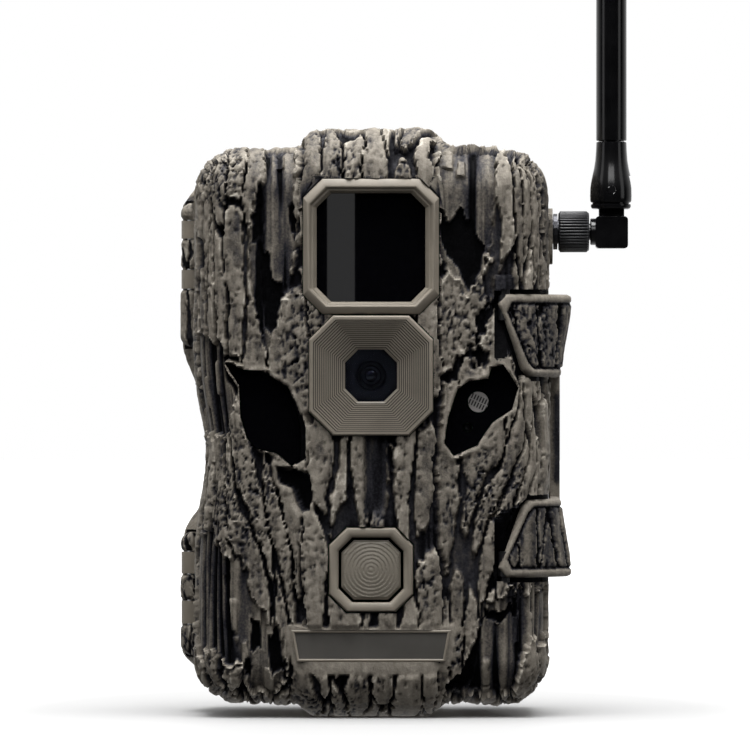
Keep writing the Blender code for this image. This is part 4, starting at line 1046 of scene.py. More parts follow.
def make_studio():
    """Lights above, in front and at the sides, and a narrow one that the windows reflect."""
    centre = (0.0, -0.03, 0.08)
    make_light("top_box", (0.0, -0.16, 0.9), centre, (0.7, 0.7), 20.0)
    make_light("front_box", (0.0, -1.3, 0.9), centre, (0.9, 0.5), 6.2)
    make_light("left_box", (-0.85, -0.45, 0.3), centre, (0.3, 0.7), 0.7)
    make_light("right_box", (0.85, -0.45, 0.3), centre, (0.3, 0.7), 0.7)
    strip_x, strip_z = -0.0201, 0.168
    make_light("window_strip", (strip_x, -3.0, strip_z), (strip_x, 0.0, strip_z), (0.0171, 0.1), 0.0034)
    make_world()
    bpy.context.scene.view_settings.view_transform = "Standard"


def make_floor():
    """A disc that takes the shadow near the case and glows white further away. The glow fades out towards the
    case in an ellipse stretched front to back, which greys the floor there as a painted shadow round the real
    one.
    """
    shape = bmesh.new()
    bmesh.ops.create_circle(shape, cap_ends=True, segments=96, radius=6.0)
    mesh = mesh_of("floor", shape)
    grey, white = (0.36, 0.36, 0.36), (1, 1, 1, 1)
    material, tree, shader = new_material("floor_paper", grey, 0.6, Emission_Color=white)
    drive(tree, ramp(tree, grain(tree, 3.0), ((0.3, (0.35, 0.35, 0.35)), (0.7, (0.37, 0.37, 0.37)))), shader)
    shadow_oval = place(tree, (1.0, 0.6, 1.0))
    away = add(tree, "ShaderNodeVectorMath", {"Vector": shadow_oval}, operation="LENGTH").outputs["Value"]
    # No glow near the case and full glow further out: a painted shadow, stretched behind the case, round the
    # shadow that the lamps cast.
    drive(tree, remap(tree, away, 0.085, 0.33, 0.0, 1.0), shader, "Emission Strength")
    mesh.materials.append(material)
    floor = placed("floor", mesh)
    floor.location = (0.0, 0.0, -0.0002)
    floor.visible_diffuse = False
    floor.visible_glossy = False


# ---------------------------------------------------------------- latch

def latch_outline():
    """The latch laid flat, in distance round the case and height: two wings joined by a grip bar."""
    return [
        (33.8, LATCH_TOP), (LATCH_END, LATCH_TOP), (LATCH_END, LATCH_BOTTOM), (33.8, LATCH_BOTTOM),
        (31.8, LATCH_BOTTOM + 2.5), (38.4, 52.8), (40.4, 54.4), (BAR_START, BAR_BOTTOM),
        (BAR_START, BAR_TOP), (40.4, BAR_TOP + 0.4), (38.4, 87.0), (31.8, LATCH_TOP - 2.5),
    ]


def latch_offsets(round_case, z):
    """Heights of the latch's inner and outer faces off the case, without its relief."""
    side = smooth(ARC_START + 11.0, ARC_END + 4.0, round_case)
    flare = 2.6 * smooth(15.0, 35.5, np.abs(z - LATCH_MIDDLE))
    rise = 0.75 * smooth(ARC_START + 5.0, ARC_START + 8.5, round_case)
    return -1.6 + side * 2.9, 0.25 + rise + side * (2.9 + flare)


def on_case(round_case, z, offset):
    """Points at a distance round the case from the middle of its front, and a height off its face."""
    angle = (np.clip(round_case, ARC_START, ARC_END) - ARC_START) / CORNER_R
    reach = CORNER_R + offset
    x = np.minimum(round_case, ARC_START) + reach * np.sin(angle)
    y = FRONT_Y + CORNER_R - reach * np.cos(angle) + np.maximum(round_case - ARC_END, 0.0)
    return np.stack((x, y, z), axis=-1)


def filled(outline, pitch):
    """An outline filled with small triangles: its points, how many of them lie on the edge, and its faces."""
    edge = []
    count = len(outline)
    for i in range(count):
        start, end = Vector(outline[i]), Vector(outline[(i + 1) % count])
        steps = max(1, round((end - start).length / pitch))
        edge += [start.lerp(end, k / steps) for k in range(steps)]
    us = [p[0] for p in outline]
    vs = [p[1] for p in outline]
    across = np.arange(min(us), max(us), pitch)
    up = np.arange(min(vs), max(vs), pitch)
    u, v = (block.ravel() for block in np.meshgrid(across, up))
    scatter = 0.45
    u = u + pitch * scatter * (hashed(901, np.arange(len(u))) - 0.5)
    v = v + pitch * scatter * (hashed(902, np.arange(len(v))) - 0.5)
    kept = outside(u, v, outline) < -scatter * pitch
    points = edge + [Vector(p) for p in np.stack((u[kept], v[kept]), -1).tolist()]
    borders = [(i, (i + 1) % len(edge)) for i in range(len(edge))]
    points, _, faces, _, _, _ = delaunay_2d_cdt(points, borders, [], 1, 1e-5)
    return np.array([tuple(p) for p in points]), len(edge), faces


def slab(outline, pitch, inner, outer, paint=None):
    """A closed plate from a flat outline: inner and outer give the places of its two faces."""
    flat, edge_count, faces = filled(outline, pitch)
    count = len(flat)
    u, v = flat.T
    places = np.concatenate((outer(u, v), inner(u, v)))
    walls = [[i, (i + 1) % edge_count, count + (i + 1) % edge_count, count + i] for i in range(edge_count)]
    back = [[count + i for i in reversed(face)] for face in faces]
    shade = None if paint is None else np.concatenate((paint(u, v), np.full(count, TRIM_PAINT)))
    return merged([mesh_from("slab", places, [*faces, *back, *walls], shade)])


def wing_panel(end_z, bar_z, inward):
    """The sunken panel of bark on one wing, between the latch's end and its grip bar."""
    far_side, end_side, bar_side = LATCH_END - 3.0, end_z + inward * 2.3, bar_z - inward * 2.4
    return (
        (35.4, end_side), (far_side, end_side), (far_side, bar_side), (41.2, bar_side),
        (39.8, bar_z - inward * 4.0), (34.4, end_z + inward * 4.6),
    )


WING_PANELS = (wing_panel(LATCH_TOP, BAR_TOP, -1), wing_panel(LATCH_BOTTOM, BAR_BOTTOM, 1))


def latch_relief(s, z):
    """Height and paint on the latch: a smooth rounded rim and bar, with bark set into each wing."""
    edge_radius, groove_depth, groove_width = 1.1, 0.6, 0.28
    reach = np.minimum(*[outside(s, z, panel) for panel in WING_PANELS])
    inside = smooth(0.05, -0.35, reach)
    shaded_groove = np.exp(-((reach / groove_width) ** 2))
    height, paint = bark(s + 200.0, z, 700)
    to_edge = np.clip(-outside(s, z, latch_outline()), 0.0, edge_radius)
    rounded = edge_radius - np.sqrt(np.maximum(edge_radius**2 - (edge_radius - to_edge) ** 2, 0.0))
    height = inside * (0.42 * height - 0.25) - groove_depth * shaded_groove - rounded * (1 - inside)
    # The grip bar is painted darker than the rim, as painted shade on a bar that faces sideways, away from
    # the lights, and the channel round each panel is painted near black, as painted shade.
    bar_shade = smooth(BAR_TOP - 2.0, BAR_TOP - 5.0, z) * smooth(BAR_BOTTOM + 2.0, BAR_BOTTOM + 5.0, z)
    paint = inside * (paint - 0.14) + (1 - inside) * (0.7 - 0.46 * bar_shade) - 0.75 * shaded_groove
    return height, paint


def make_latch():
    """The latch's bark-covered plate, and the two barrels that it turns on."""

    def outer(s, z):
        return on_case(s, z, latch_offsets(s, z)[1] + latch_relief(s, z)[0])

    def inner(s, z):
        return on_case(s, z, latch_offsets(s, z)[0])

    plate = slab(latch_outline(), LATCH_PITCH, inner, outer, lambda s, z: latch_relief(s, z)[1])
    piece("latch_cover", plate, "latch", BARK, ["latch_lever"], crease=50)
    # The barrels are black, which stands for the shade in the gap beside each wing: painted shade.
    barrels = several(latch_rods(LATCH_BARREL_R, FIT_GAP, LATCH_BARREL_HEIGHT), latch_rods(1.2, -2.2, 1.0))
    piece("latch_barrels", as_mesh("latch_barrels", barrels), "latch", BLACK, crease=48)


def arc(turn, start=0.0):
    """Eight angles in even steps through a turn."""
    return [start + turn * i / 7 for i in range(8)]


def latch_swing(end_z, direction):
    """The room one wing needs as it turns 90 degrees about its pivot, section by section down its edge."""
    slanting_edge = (
        (-0.9, 0.2), (0.0, 0.2), (1.2, -0.8), (2.5, -1.8), (5.0, -0.8), (7.5, 0.1), (9.5, 0.8), (11.5, 1.4),
        (13.5, 2.0), (15.5, 2.65), (17.5, 3.3),
    )
    front, behind, gap = 2.75, 0.1, 0.02
    x0, y0 = LATCH_PIVOT
    rings = []
    for down, edge in slanting_edge:
        left = edge - FIT_GAP
        end, tail = max(left, gap), max(FIT_GAP - edge, gap)
        reach, lean_back = math.hypot(front, tail), math.atan2(tail, front)
        ring = [(6.0, -9.0), (6.0, -behind)]
        for a in arc(math.pi / 2):
            across, along = math.sin(a), math.cos(a)
            ring.append((end * along - behind * across, -end * across - behind * along))
        ring.append((-behind, 0.01 - left))
        for a in arc(-2 * lean_back, lean_back):
            ring.append((-reach * math.cos(a), reach * math.sin(a) - left - tail))
        ring.append((-front, -9.0))
        rings.append([(x0 + x, y0 + y, end_z + direction * down) for x, y in ring])
    return loft(rings)


def always(height):
    """A height that is the same everywhere."""
    return lambda s, z: np.full(np.shape(s), height)


def wrapped(outline, inner, outer):
    """A coarse flat outline wrapped round the corner of the case, between two heights off its face."""
    # Slabs are made in metres, and this one has to stay in millimetres
    mesh = slab(
        outline, 2.0,
        lambda s, z: on_case(s, z, inner(s, z)) / MM,
        lambda s, z: on_case(s, z, outer(s, z)) / MM,
    )
    shape = bmesh.new()
    shape.from_mesh(mesh)
    return shape


def latch_pocket():
    """Room in the front shell for the latch."""
    outline = grown(latch_outline(), POCKET_GAP)
    return wrapped(outline, lambda s, z: latch_offsets(s, z)[0] - 0.5, always(14.0))


def latch_backing(outline):
    """Thicker wall behind the latch's pocket."""
    return wrapped(outline, always(-6.6), always(-1.8))


def latch_rods(radius, z_low, z_high):
    """A rod at each of the latch's two pivots, between two distances from its ends towards its middle."""
    length = z_high - z_low
    upper = rod(radius, 0.0, length, (*LATCH_PIVOT, LATCH_TOP - z_low), (0, 0, -1), 32)
    lower = rod(radius, 0.0, length, (*LATCH_PIVOT, LATCH_BOTTOM + z_low), ALONG_Z, 32)
    return several(upper, lower)


# ---------------------------------------------------------------- shells

def knuckle_outline(side_y, steps=16):
    """Section of a knuckle and its web: side_y is -1 on the door and 1 on the rear housing."""
    web_x = -HALF_WIDTH + 1.6
    outline = [(HINGE_X, PARTING_Y + side_y * KNUCKLE_R), (web_x, PARTING_Y + side_y * KNUCKLE_R)]
    outline += [(web_x, PARTING_Y + side_y * 0.3), (HINGE_X + KNUCKLE_R * 0.9, PARTING_Y + side_y * 0.3)]
    for i in range(steps):
        angle = -side_y * math.pi * (1 / 9 + 1.39 * i / (steps - 1))
        outline.append((HINGE_X + KNUCKLE_R * math.cos(angle), PARTING_Y + KNUCKLE_R * math.sin(angle)))
    return outline


def hinge_relief():
    """Room in a case wall for the other half's knuckles."""
    radius, spare = KNUCKLE_R + 0.4, 0.6
    return several(*[
        rod(radius, 0.0, high_z - low_z + 2 * spare, (HINGE_X, PARTING_Y, low_z - spare), ALONG_Z, 32)
        for low_z, high_z in HINGE_SPANS
    ])


def bark_knuckle(low_z, high_z):
    """A knuckle of the rear housing, with bark on the side that shows."""
    outline = np.array(knuckle_outline(1.0, 40))
    count = len(outline)
    zs = grid_lines(low_z, high_z, 0.4)
    ring = np.concatenate([outline] * len(zs))
    z = np.repeat(zs, count)
    away = ring - (HINGE_X, PARTING_Y)
    angle = np.arctan2(away[:, 1], away[:, 0])
    height, paint = bark(KNUCKLE_R * angle + 90.0, z, 480)
    to_end = np.minimum(z - low_z, high_z - z)
    exposed = smooth(-HALF_WIDTH - 0.6, -HALF_WIDTH - 1.6, ring[:, 0]) * smooth(0.0, 1.2, to_end)
    to_last = np.min([np.abs(z - end) for span in HINGE_SPANS for end in span], axis=0)
    rounding = 0.4 * smooth(0.7, 0.0, to_end) + 1.6 * np.clip(1 - to_last / 2.6, 0.0, 1.0) ** 2
    height = exposed * np.clip(0.3 * height, -0.5, 0.3) - rounding * (ring[:, 0] < HINGE_X)
    ring = ring + away / np.hypot(*away.T)[:, None] * height[:, None]
    places = np.column_stack((ring, z))
    faces = []
    for row in range(0, len(places) - count, count):
        for i in range(count):
            j = (i + 1) % count
            faces.append([row + i, row + j, row + count + j, row + count + i])
    faces += [list(range(count)), list(range(len(places) - count, len(places)))]
    return mesh_from("knuckle", places, faces, paint)


def make_knuckles():
    """Plain knuckles on the door, and knuckles that carry the bark on the rear housing."""
    plain = [upright_prism(knuckle_outline(-1.0), *span) for span in DOOR_KNUCKLES]
    piece("door_knuckles", as_mesh("door_knuckles", several(*plain)), "door", TAN, bevel=0.45)
    rough_ones = [bark_knuckle(*span) for span in REAR_KNUCKLES]
    piece("rear_knuckles", merged(rough_ones), "rear_case", BARK, crease=48)


def make_front_shell():
    """The front shell: bark outside, hollow inside, with room for the latch, port, windows and plate."""
    solid = bark_half("front", FRONT_Y, PARTING_Y - RIM_GAP, front_bark, FRONT_PITCH)
    panel_y = low("inner_panel").y
    near, far = BAND_FACE_Y - 6.0, FRONT_Y + 8.0
    window_floor, window_paint = FRONT_Y - 3.0, 0.08
    backing = [[(29.0, z0), (52.0, z0), (52.0, z1), (29.0, z1)] for z0, z1 in ((30.0, 58.0), (83.0, 111.0))]
    holes = (SENSOR_OUTLINE, KNOT_OUTLINE)
    port_pad = round_rectangle(7.5, 7.0, 3.5, (PORT.y, PORT.z - 1.2))
    corner_shape = ((18.2, 9.0), (17.9, 15.0), (16.6, 17.2), (11.0, 17.4), (15.0, 10.0))
    corners = [[(side * x, IR_Z + z) for x, z in corner_shape] for side in (-1, 1)]
    shell = combined(
        solid,
        (CUT, coarse_half(FRONT_Y, panel_y - 1.8, WALL + 1.8), INNER_PAINT),
        (CUT, prism(panel_outline(FIT_GAP), panel_y - 2.8, PARTING_Y + 4.0), INNER_PAINT),
        *[(JOIN, latch_backing(outline), INNER_PAINT) for outline in backing],
        # The latch's pocket and the holes for its barrels get paint 0, near black: painted shade in the gap
        # round the latch.
        (CUT, latch_pocket(), 0.0),
        (CUT, latch_rods(LATCH_BARREL_R + 0.4, -POCKET_GAP, LATCH_BARREL_HEIGHT + 0.5), 0.0),
        (CUT, latch_swing(LATCH_TOP, -1), None),
        (CUT, latch_swing(LATCH_BOTTOM, 1), None),
        (CUT, hinge_relief(), INNER_PAINT),
        (JOIN, loft([[(x, y, z) for y, z in port_pad] for x in (HALF_WIDTH - 1.5, PORT_FACE_X)]), 0.55),
        (CUT, rod(3.45, 0.0, 12.0, (HALF_WIDTH - 6.0, PORT.y, PORT.z), ALONG_X), 0.1),
        *[(JOIN, prism(corner, BAND_FACE_Y - 0.2, FRONT_Y + 3.0), 0.62) for corner in corners],
        (CUT, prism(octagon(17.15, 17.05, 4.86, IR_Z - 0.4), near, far), 0.5),
        (CUT, prism(octagon(15.65, 15.15, 6.0, LENS_Z), near, far), 0.4),
        (CUT, prism(octagon(10.8, 10.8, 4.5, PIR_Z), near, far), 0.1),
        *[(CUT, prism(grown(hole, FIT_GAP), window_floor, far), window_paint) for hole in holes],
        (CUT, prism(PLATE_OUTLINE, BAND_FACE_Y - 4.0, BAND_FACE_Y + 0.8), 0.35),
    )
    piece("front_case", shell, "door", BARK, ["front_shell"], crease=48)


def make_rear_shell():
    """The rear shell: bark outside, hollow inside, with holes in its foot for the insert and the jack."""
    solid = bark_half("rear", BACK_Y, PARTING_Y + RIM_GAP, rear_bark, REAR_PITCH)
    rim_y = low("battery_tray").y + 1.9
    boss = Vector((*middle("tripod_insert").xy, 0.0))
    jack = Vector((*middle("dc_jack").xy, 0.0))
    insert_hole = high("tripod_insert").x + FIT_GAP
    shell = combined(
        solid,
        (CUT, coarse_half(BACK_Y, rim_y - 0.5, WALL + 0.8), INNER_PAINT),
        (CUT, prism(panel_outline(FIT_GAP), PARTING_Y - 4.0, rim_y), INNER_PAINT),
        (JOIN, rod(7.0, 1.4, 12.0, boss, ALONG_Z), INNER_PAINT),
        (CUT, rod(insert_hole, -2.0, 10.6, boss, ALONG_Z), INNER_PAINT),
        (CUT, rod(3.4, -2.0, 10.0, jack, ALONG_Z), INNER_PAINT),
        (CUT, hinge_relief(), INNER_PAINT),
    )
    piece("rear_case_shell", shell, "rear_case", BARK, ["rear_housing"], crease=48)


def make_latch_rails():
    """Two rails on the side of the rear shell: one that the grip bar catches on, and one that it stops at."""
    catch = ((-1.5, 2.0), (0.9, 2.6), (0.9, 4.0), (-1.5, 5.4))
    stop = ((-1.5, 6.9), (1.6, 7.1), (2.4, 7.9), (2.2, 9.4), (-1.5, 12.0))
    rails = (("latch_catch", catch, 2.0, TAN), ("latch_stop", stop, 0.6, RUBBER))
    for name, section, margin, material in rails:
        outline = [(HALF_WIDTH + x, PARTING_Y + y) for x, y in section]
        rail = upright_prism(outline, BAR_BOTTOM + margin, BAR_TOP - margin)
        piece(name, as_mesh(name, rail), "rear_case", material, bevel=0.3)


# ---------------------------------------------------------------- bezels, lens column and plate

def make_ir_bezel():
    """The window's frame, which is thicker above the window than below it."""
    face = BAND_FACE_Y - 1.3
    seat = FRONT_Y + 0.7
    back = high("ir_bezel").y
    profile = (
        (17.0, 16.9, 4.8, back, -0.4), (17.0, 16.9, 4.8, face + 1.1, -0.4),
        (16.75, 16.6, 4.7, face + 0.8, -0.4), (15.95, 15.3, 4.45, face + 0.05, -0.4),
        (15.5, 14.95, 4.3, face, -0.45), (15.15, 14.7, 4.2, face + 0.3, -0.5),
        (14.9, 14.55, 4.1, face + 0.8, -0.55), (14.4, 14.2, 3.95, face + 0.9, -0.6),
        (13.9, 13.85, 3.75, face + 1.5, -0.65), (13.6, 13.6, 3.65, face + 2.0, -0.65),
        (13.6, 13.6, 3.65, seat, -0.65), (15.4, 15.3, 4.2, seat, 0.0), (15.4, 15.3, 4.2, back, 0.0),
    )
    mesh = as_mesh("ir_frame", octagon_frame(profile, IR_Z))
    piece("ir_frame", mesh, "door", TAN, ["ir_bezel"], crease=28, bevel=0.12)


def make_lens_bezel():
    """An octagonal funnel whose sides go down in fine steps to the lens window."""
    face = BAND_FACE_Y - 1.8
    seat = FRONT_Y + 0.4
    back = high("lens_bezel").y
    steps = 15
    wide, narrow = (14.5, 14.0, 5.65), (6.7, 6.7, 3.3)
    drop = (seat - 0.7 - face) / steps
    profile = [(15.5, 15.0, 6.0, back), (15.5, 15.0, 6.0, face + 0.6), (15.35, 14.85, 5.95, face + 0.2),
               (15.1, 14.6, 5.85, face), (14.85, 14.35, 5.8, face)]
    shaded_grooves = [0.0] * len(profile)
    for step in range(steps):
        # Each step's riser stores shaded_groove 1, which the material paints dark: painted shade under each
        # step.
        for share, fall, shaded_groove in ((0.0, 0.0, 0.0), (0.05, 1.1, 1.0), (0.42, 1.1, 1.0), (0.48, 0.9, 0.0)):
            ring = [a + (b - a) * (step + share) / steps for a, b in zip(wide, narrow)]
            profile.append((*ring, face + drop * (step + fall)))
            shaded_grooves.append(shaded_groove)
    profile += [(6.5, 6.5, 3.3, seat - 0.4), (6.5, 6.5, 3.3, seat)]
    profile += [(8.3, 8.3, 3.6, seat), (8.3, 8.3, 3.6, back)]
    # The throat at the seat is painted dark too: painted shade deep in the funnel.
    shaded_grooves += [0.3, 0.8, 0.8, 0.8]
    mesh = as_mesh("lens_funnel", octagon_frame([(*ring, 0.0) for ring in profile], LENS_Z))
    store(mesh, "shaded_groove", np.repeat(shaded_grooves, len(mesh.vertices) // len(profile)))
    piece("lens_funnel", mesh, "door", TAN, ["lens_bezel"], crease=12)


def make_lens():
    """A black ring behind the window, then the lens barrel with its stepped throat and coated glass."""
    seat = high("lens_window").y + 0.3
    baffle = combined(
        as_mesh("baffle", prism(octagon(7.6, 7.6, 3.3, LENS_Z), seat, seat + 0.7)),
        (CUT, rod(4.0, -2.0, 4.0, (0.0, seat, LENS_Z), ALONG_Y, 64), None),
    )
    piece("lens_baffle", baffle, "door", NAVY_BLACK, bevel=0.1)
    front = low("lens_barrel").y
    back = high("lens_barrel").y
    throat = (
        (5.4, back - front), (5.4, 2.5), (4.9, 0.3), (4.7, 0.0), (3.7, 0.0), (3.5, 0.3), (3.4, 1.8),
        (2.6, 1.8), (2.5, 0.5), (2.3, 0.3), (1.6, 0.3), (1.4, 0.6), (1.35, 4.0), (0.6, 4.0),
        (0.6, back - front),
    )
    barrel = as_mesh("barrel", tube(throat, (0.0, front, LENS_Z), ALONG_Y, 64))
    piece("lens_throat", barrel, "door", NAVY_BLACK, ["lens_barrel"], crease=30)
    bulge, dome_edge, dome_start = 4.0, 0.31, 0.7
    dome = [(1.25, 3.6)]
    for i in range(8):
        a = dome_edge * (1 - i / 8)
        dome.append((bulge * math.sin(a), dome_start + bulge * (1 - math.cos(a))))
    dome.append((0.02, dome_start))
    glass = as_mesh("front_glass", turned(dome, (0.0, front, LENS_Z), ALONG_Y, 64))
    piece("lens_front_glass", glass, "door", COATED_GLASS, ["lens_glass"], crease=40)


def make_pir():
    """A plain octagonal frame round a pale ribbed Fresnel lens."""
    face = BAND_FACE_Y - 0.5
    back = high("pir_frame").y
    profile = (
        (10.5, 4.4, back), (10.5, 4.4, face + 0.5), (10.2, 4.3, face), (9.6, 4.05, face - 0.1),
        (8.8, 3.7, face), (8.3, 3.45, face + 0.35), (8.1, 3.4, face + 0.8), (8.1, 3.4, back),
    )
    surround = octagon_frame([(size, size, cut_size, y, 0.0) for size, cut_size, y in profile], PIR_Z)
    mesh = as_mesh("pir_surround", surround)
    piece("pir_surround", mesh, "door", TAN, ["pir_frame"], crease=28, bevel=0.12)
    lens_outline = octagon(7.4, 7.4, 3.1, PIR_Z)

    def ribbed(u, v):
        radius = np.hypot(u, v - PIR_Z)
        saw = np.mod(radius / 0.95, 1.0)
        edge = smooth(0.0, 0.7, -outside(u, v, lens_outline))
        height = edge * (0.5 + 0.45 * np.cos(radius * math.pi / 16.0) - 0.16 * saw)
        return np.stack((u, face + 1.25 - height, v), axis=-1)

    def flat_back(u, v):
        return np.stack((u, np.full(np.shape(u), high("pir_lens").y), v), axis=-1)

    lens = slab(lens_outline, 0.2, flat_back, ribbed)
    piece("pir_fresnel", lens, "door", LENS_TAN, ["pir_lens"], crease=60)


def make_name_plate():
    """A blank plate with a thin raised rim."""
    low_y, face = BAND_FACE_Y + 0.75, BAND_FACE_Y - 0.1
    blank = prism(grown(PLATE_OUTLINE, -0.1), low_y, face + 0.35)
    piece("name_plate", as_mesh("name_plate", blank), "door", PLATE_TAN, bevel=0.12)
    section = ((-0.05, low_y - 0.3), (-0.05, face + 0.15), (-0.25, face), (-0.55, face), (-0.75, face + 0.15),
               (-0.75, low_y - 0.3))
    rim = loft([[(x, y, z) for x, z in grown(PLATE_OUTLINE, inset)] for inset, y in section], closed=True)
    piece("name_plate_rim", as_mesh("name_plate_rim", rim), "door", TAN, crease=28, bevel=0.06)


# ---------------------------------------------------------------- antenna

def make_nut():
    """The knurled coupling nut: rings of one outline whose radius goes in and out for each flute."""
    flutes, per_flute = 40, 8
    start, end = low("antenna_nut").x, high("antenna_nut").x

    def ring(x, radius, depth):
        angles = [2 * math.pi * i / (flutes * per_flute) for i in range(flutes * per_flute)]
        radii = [radius - depth * (0.5 - 0.5 * math.cos(a * flutes)) ** 2 for a in angles]
        return [(x, PORT.y + r * math.cos(a), PORT.z + r * math.sin(a)) for r, a in zip(radii, angles)]

    profile = (
        (start, 4.6, 0.0), (start + 0.25, 4.85, 0.0), (start + 0.4, 5.2, 0.4), (end - 0.6, 5.2, 0.4),
        (end - 0.35, 4.95, 0.1), (end, 4.7, 0.0), (end, 2.7, 0.0), (end - 1.3, 2.7, 0.0),
        (end - 1.4, 3.4, 0.0), (start, 3.4, 0.0),
    )
    shape = loft([ring(*size) for size in profile], closed=True)
    mesh = as_mesh("knurled_nut", shape)
    piece("knurled_nut", mesh, "antenna_nut_ring", NUT_BLACK, ["antenna_nut"], crease=50)


def make_elbow():
    """The swivel: a block with a ferrule that goes through the nut, a tongue for the mast, and its pin."""
    y, z = PORT.y, PORT.z
    block = prism(round_rectangle(4.1, 4.05, 0.9, (MAST_X, z - 0.2), 6), y - 4.0, y + 4.0)
    start = low("antenna_elbow").x
    past_nut = high("antenna_nut").x - start
    ferrule = ((2.1, 0.0), (2.1, past_nut + 0.3), (3.2, past_nut + 0.35), (3.4, past_nut + 0.6),
               (3.4, MAST_X - start - 2.0))
    tongue_r = 3.2
    tongue = [(MAST_X - tongue_r, z + 2.0), (MAST_X + tongue_r, z + 2.0)]
    for i in range(21):
        a = i * math.pi / 20
        tongue.append((MAST_X + tongue_r * math.cos(a), TILT_Z + tongue_r * math.sin(a)))
    elbow = combined(
        as_mesh("elbow", block),
        (JOIN, turned(ferrule, (start, y, z), ALONG_X), None),
        (JOIN, prism(tongue, y - 1.6, y + 1.6), None),
        (CUT, rod(1.2, 0.0, 10.0, (MAST_X, y - 5.0, TILT_Z), ALONG_Y, 32), None),
    )
    piece("swivel_elbow", elbow, "antenna_swivel", GLOSS_BLACK, ["antenna_elbow"], bevel=0.4)
    pin = as_mesh("tilt_pin", rod(0.98, 0.0, 10.5, (MAST_X, y - 5.25, TILT_Z), ALONG_Y, 32))
    piece("tilt_pin", pin, "antenna_swivel", DARK_STEEL, ["antenna_pin"])


def make_mast():
    """The mast in its rubber boot, whose slot lets it fold over the swivel's tongue."""
    y = PORT.y
    root = 6.0
    start = low("antenna_mast").z + root
    bell = (
        (4.7, 127.75), (5.0, 127.9), (5.2, 128.3), (5.2, 128.85), (4.8, 129.05), (4.8, 129.3), (5.2, 129.45),
        (5.35, 129.8), (5.4, 131.0), (5.35, 133.0), (5.15, 134.5), (4.8, 136.2), (4.4, 138.0), (4.08, 140.0),
        (3.9, 142.5), (3.82, start - FIT_GAP - 0.15), (3.65, start - FIT_GAP),
    )
    boot = combined(
        as_mesh("boot", turned(bell, (MAST_X, y, 0.0), ALONG_Z, 72)),
        (CUT, box_shape((MAST_X - 3.5, y - 1.9, 120.0), (MAST_X + 8.0, y + 1.9, TILT_Z + 3.6)), None),
        (CUT, rod(1.08, 0.0, 16.0, (MAST_X, y - 8.0, TILT_Z), ALONG_Y, 32), None),
        (CUT, rod(2.6, 0.0, 8.0, (MAST_X, y, start - 6.4), ALONG_Z, 32), None),
    )
    piece("mast_boot", boot, "antenna_rod", GLOSS_BLACK, ["antenna_boot"], crease=30)
    length = high("antenna_mast").z - start
    profile = (
        (2.3, -root), (2.3, -0.2), (3.3, -0.2), (3.3, 0.0), (3.7, 0.0), (3.85, 0.15), (3.85, 60.0),
        (3.5, length - 4.0), (3.3, length - 2.0), (2.8, length - 0.7), (2.0, length - 0.15), (0.6, length),
    )
    mast = as_mesh("mast", turned(profile, (MAST_X, y, start), ALONG_Z, 72))
    piece("mast", mast, "antenna_rod", GLOSS_BLACK, ["antenna_mast"], crease=32)


# ---------------------------------------------------------------- screws, cells, springs and the insert

def screw(centre, radius, height, shank_radius, shank):
    """A pan-head screw along +Y from the end of its shank, with a cross recess."""
    x, y, z = centre
    profile = (
        (shank_radius * 0.4, 0.0), (shank_radius, 0.6), (shank_radius, shank), (radius, shank),
        (radius, shank + height * 0.4), (radius * 0.9, shank + height * 0.75), (radius * 0.6, shank + height),
    )
    arm, width, top = radius * 0.62, radius * 0.11, y + shank + height * 0.35
    return combined(
        as_mesh("screw", turned(profile, centre, ALONG_Y, 40)),
        (CUT, box_shape((x - arm, top, z - width), (x + arm, y + shank + 5.0, z + width)), None),
        (CUT, box_shape((x - width, top, z - arm), (x + width, y + shank + 5.0, z + arm)), None),
    )


def make_screws():
    """Screws of two kinds: how many, their body, the head's radius and height, and the shank's radius."""
    kinds = {"panel_screw": (4, "door", 2.4, 1.2, 0.95), "bracket_screw": (2, "rear_case", 3.0, 1.8, 1.3)}
    for kind, (count, body, radius, height, shank_radius) in kinds.items():
        for number in range(1, count + 1):
            node = f"{kind}_{number}"
            start = Vector((middle(node).x, low(node).y, middle(node).z))
            mesh = screw(start, radius, height, shank_radius, high(node).y - start.y - height)
            piece(f"{kind}_head_{number}", mesh, body, STEEL, [node])


def make_cells():
    """Battery cells with crimped ends and a raised positive nub."""
    for number in range(1, 9):
        node = f"battery_cell_{number}"
        base, centre = low(node), middle(node)
        radius = (high(node).x - base.x) / 2
        length = high(node).z - base.z
        profile = (
            (radius - 1.2, 0.0), (radius - 0.3, 0.0), (radius, 0.4), (radius, length - 2.2),
            (radius - 0.25, length - 1.5), (radius - 0.6, length - 1.2), (2.9, length - 1.2),
            (2.6, length - 1.0), (2.6, length - 0.2), (2.4, length),
        )
        mesh = as_mesh("cell", turned(profile, (centre.x, centre.y, base.z), ALONG_Z))
        piece(f"cell_{number}", mesh, "rear_case", CELL, [node], crease=30)


def make_springs():
    """Conical contact springs, as a round wire swept along its coil."""
    turns, per_turn, wire, sides = 2.5, 32, 0.4, 10
    height, wide_end, narrowing = 4.4, 4.6, 2.0
    spokes = [2 * math.pi * k / sides for k in range(sides)]
    for number in range(1, 5):
        node = f"battery_spring_{number}"
        centre = middle(f"battery_cell_{number}")
        base = low(node).z + wire
        rings = []
        for i in range(int(turns * per_turn) + 1):
            share = i / (turns * per_turn)
            angle = 2 * math.pi * turns * share
            outward = Vector((math.cos(angle), math.sin(angle), 0.0))
            at = Vector((centre.x, centre.y, base + height * share))
            at += outward * (wide_end - narrowing * share)
            ring = [at + outward * wire * math.cos(a) + Vector((0, 0, wire * math.sin(a))) for a in spokes]
            rings.append(ring)
        piece(f"contact_spring_{number}", as_mesh("spring", loft(rings)), "rear_case", STEEL, [node])


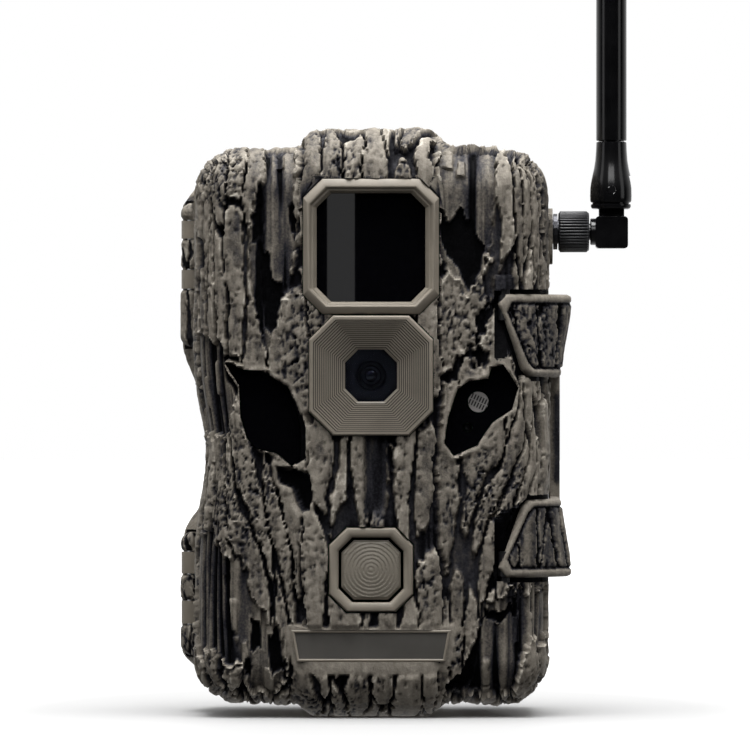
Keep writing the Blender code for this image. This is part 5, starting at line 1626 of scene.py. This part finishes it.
def make_tripod_insert():
    """The brass insert with the thread of a tripod screw, as a ridge that winds down its bore."""
    node = "tripod_insert"
    base, centre = low(node), middle(node)
    outer = (high(node).x - base.x) / 2
    depth = high(node).z - base.z
    bore, pitch, ridge, per_turn = 3.1, 1.27, 0.28, 48
    profile = (
        (outer - 0.2, 0.0), (outer, 0.2), (outer, depth), (bore, depth), (bore, 0.4), (bore + 0.4, 0.0),
    )
    sleeve = tube(profile, (centre.x, centre.y, base.z), ALONG_Z, 64)
    turns = int((depth - 1.6) / pitch)
    rings = []
    for i in range(turns * per_turn + 1):
        angle = 2 * math.pi * i / per_turn
        z = base.z + 0.8 + pitch * i / per_turn
        outward = Vector((math.cos(angle), math.sin(angle), 0.0))
        at = Vector((centre.x, centre.y, z)) + outward * (bore + 0.02)
        rings.append([at + Vector((0, 0, -0.4)), at - outward * ridge, at + Vector((0, 0, 0.4))])
    mesh = as_mesh("threaded_insert", several(sleeve, loft(rings)))
    piece("threaded_insert", mesh, "rear_case", BRASS, [node], crease=30)


def finish_solids():
    """Materials, and soft edges, for the solids whose shape is already right."""
    finishes = {
        "hinge_pin_upper": (STEEL, 0.1), "hinge_pin_lower": (STEEL, 0.1), "battery_tray": (BLACK, 0.35),
        "dc_jack": (BLACK, 0.1), "tree_bracket": (TAN, 0.5), "ir_window": (WINDOW, 0.25),
        "ir_led_board": (BOARD, 0.1), "lens_window": (GLASS, 0.15), "pir_sensor": (STEEL, 0.1),
        "sensor_window": (WINDOW, 0.3),
        "photocell": (CERAMIC, 0.15), "status_led": (GLASS, 0.1), "knot_window": (WINDOW, 0.3),
        "main_board": (BOARD, 0.15), "modem_module": (STEEL, 0.2), "usb_port": (STEEL, 0.1),
        "inner_panel": (BLACK, 0.3), "display_window": (SCREEN, 0.2), "door_gasket": (GREY_RUBBER, 0.25),
        "antenna_connector": (BLACK_METAL, 0.1), "button_menu": (GREY_RUBBER, 0.3),
        "button_up": (GREY_RUBBER, 0.3), "button_down": (GREY_RUBBER, 0.3), "button_ok": (GREY_RUBBER, 0.3),
        "mode_switch": (GREY_RUBBER, 0.3), "sd_card": (BLACK, 0.15), "jack_cover": (RUBBER, 0.3),
    }
    for name, (material, edge) in finishes.items():
        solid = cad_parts[name]
        solid.data.materials.clear()
        solid.data.materials.append(material)
        soften(solid, edge)


def main():
    make_camera()
    make_studio()
    make_floor()
    make_front_shell()
    make_rear_shell()
    make_latch_rails()
    make_knuckles()
    make_latch()
    make_ir_bezel()
    make_lens_bezel()
    make_lens()
    make_pir()
    make_name_plate()
    make_nut()
    make_elbow()
    make_mast()
    make_screws()
    make_cells()
    make_springs()
    make_tripod_insert()
    finish_solids()


main()
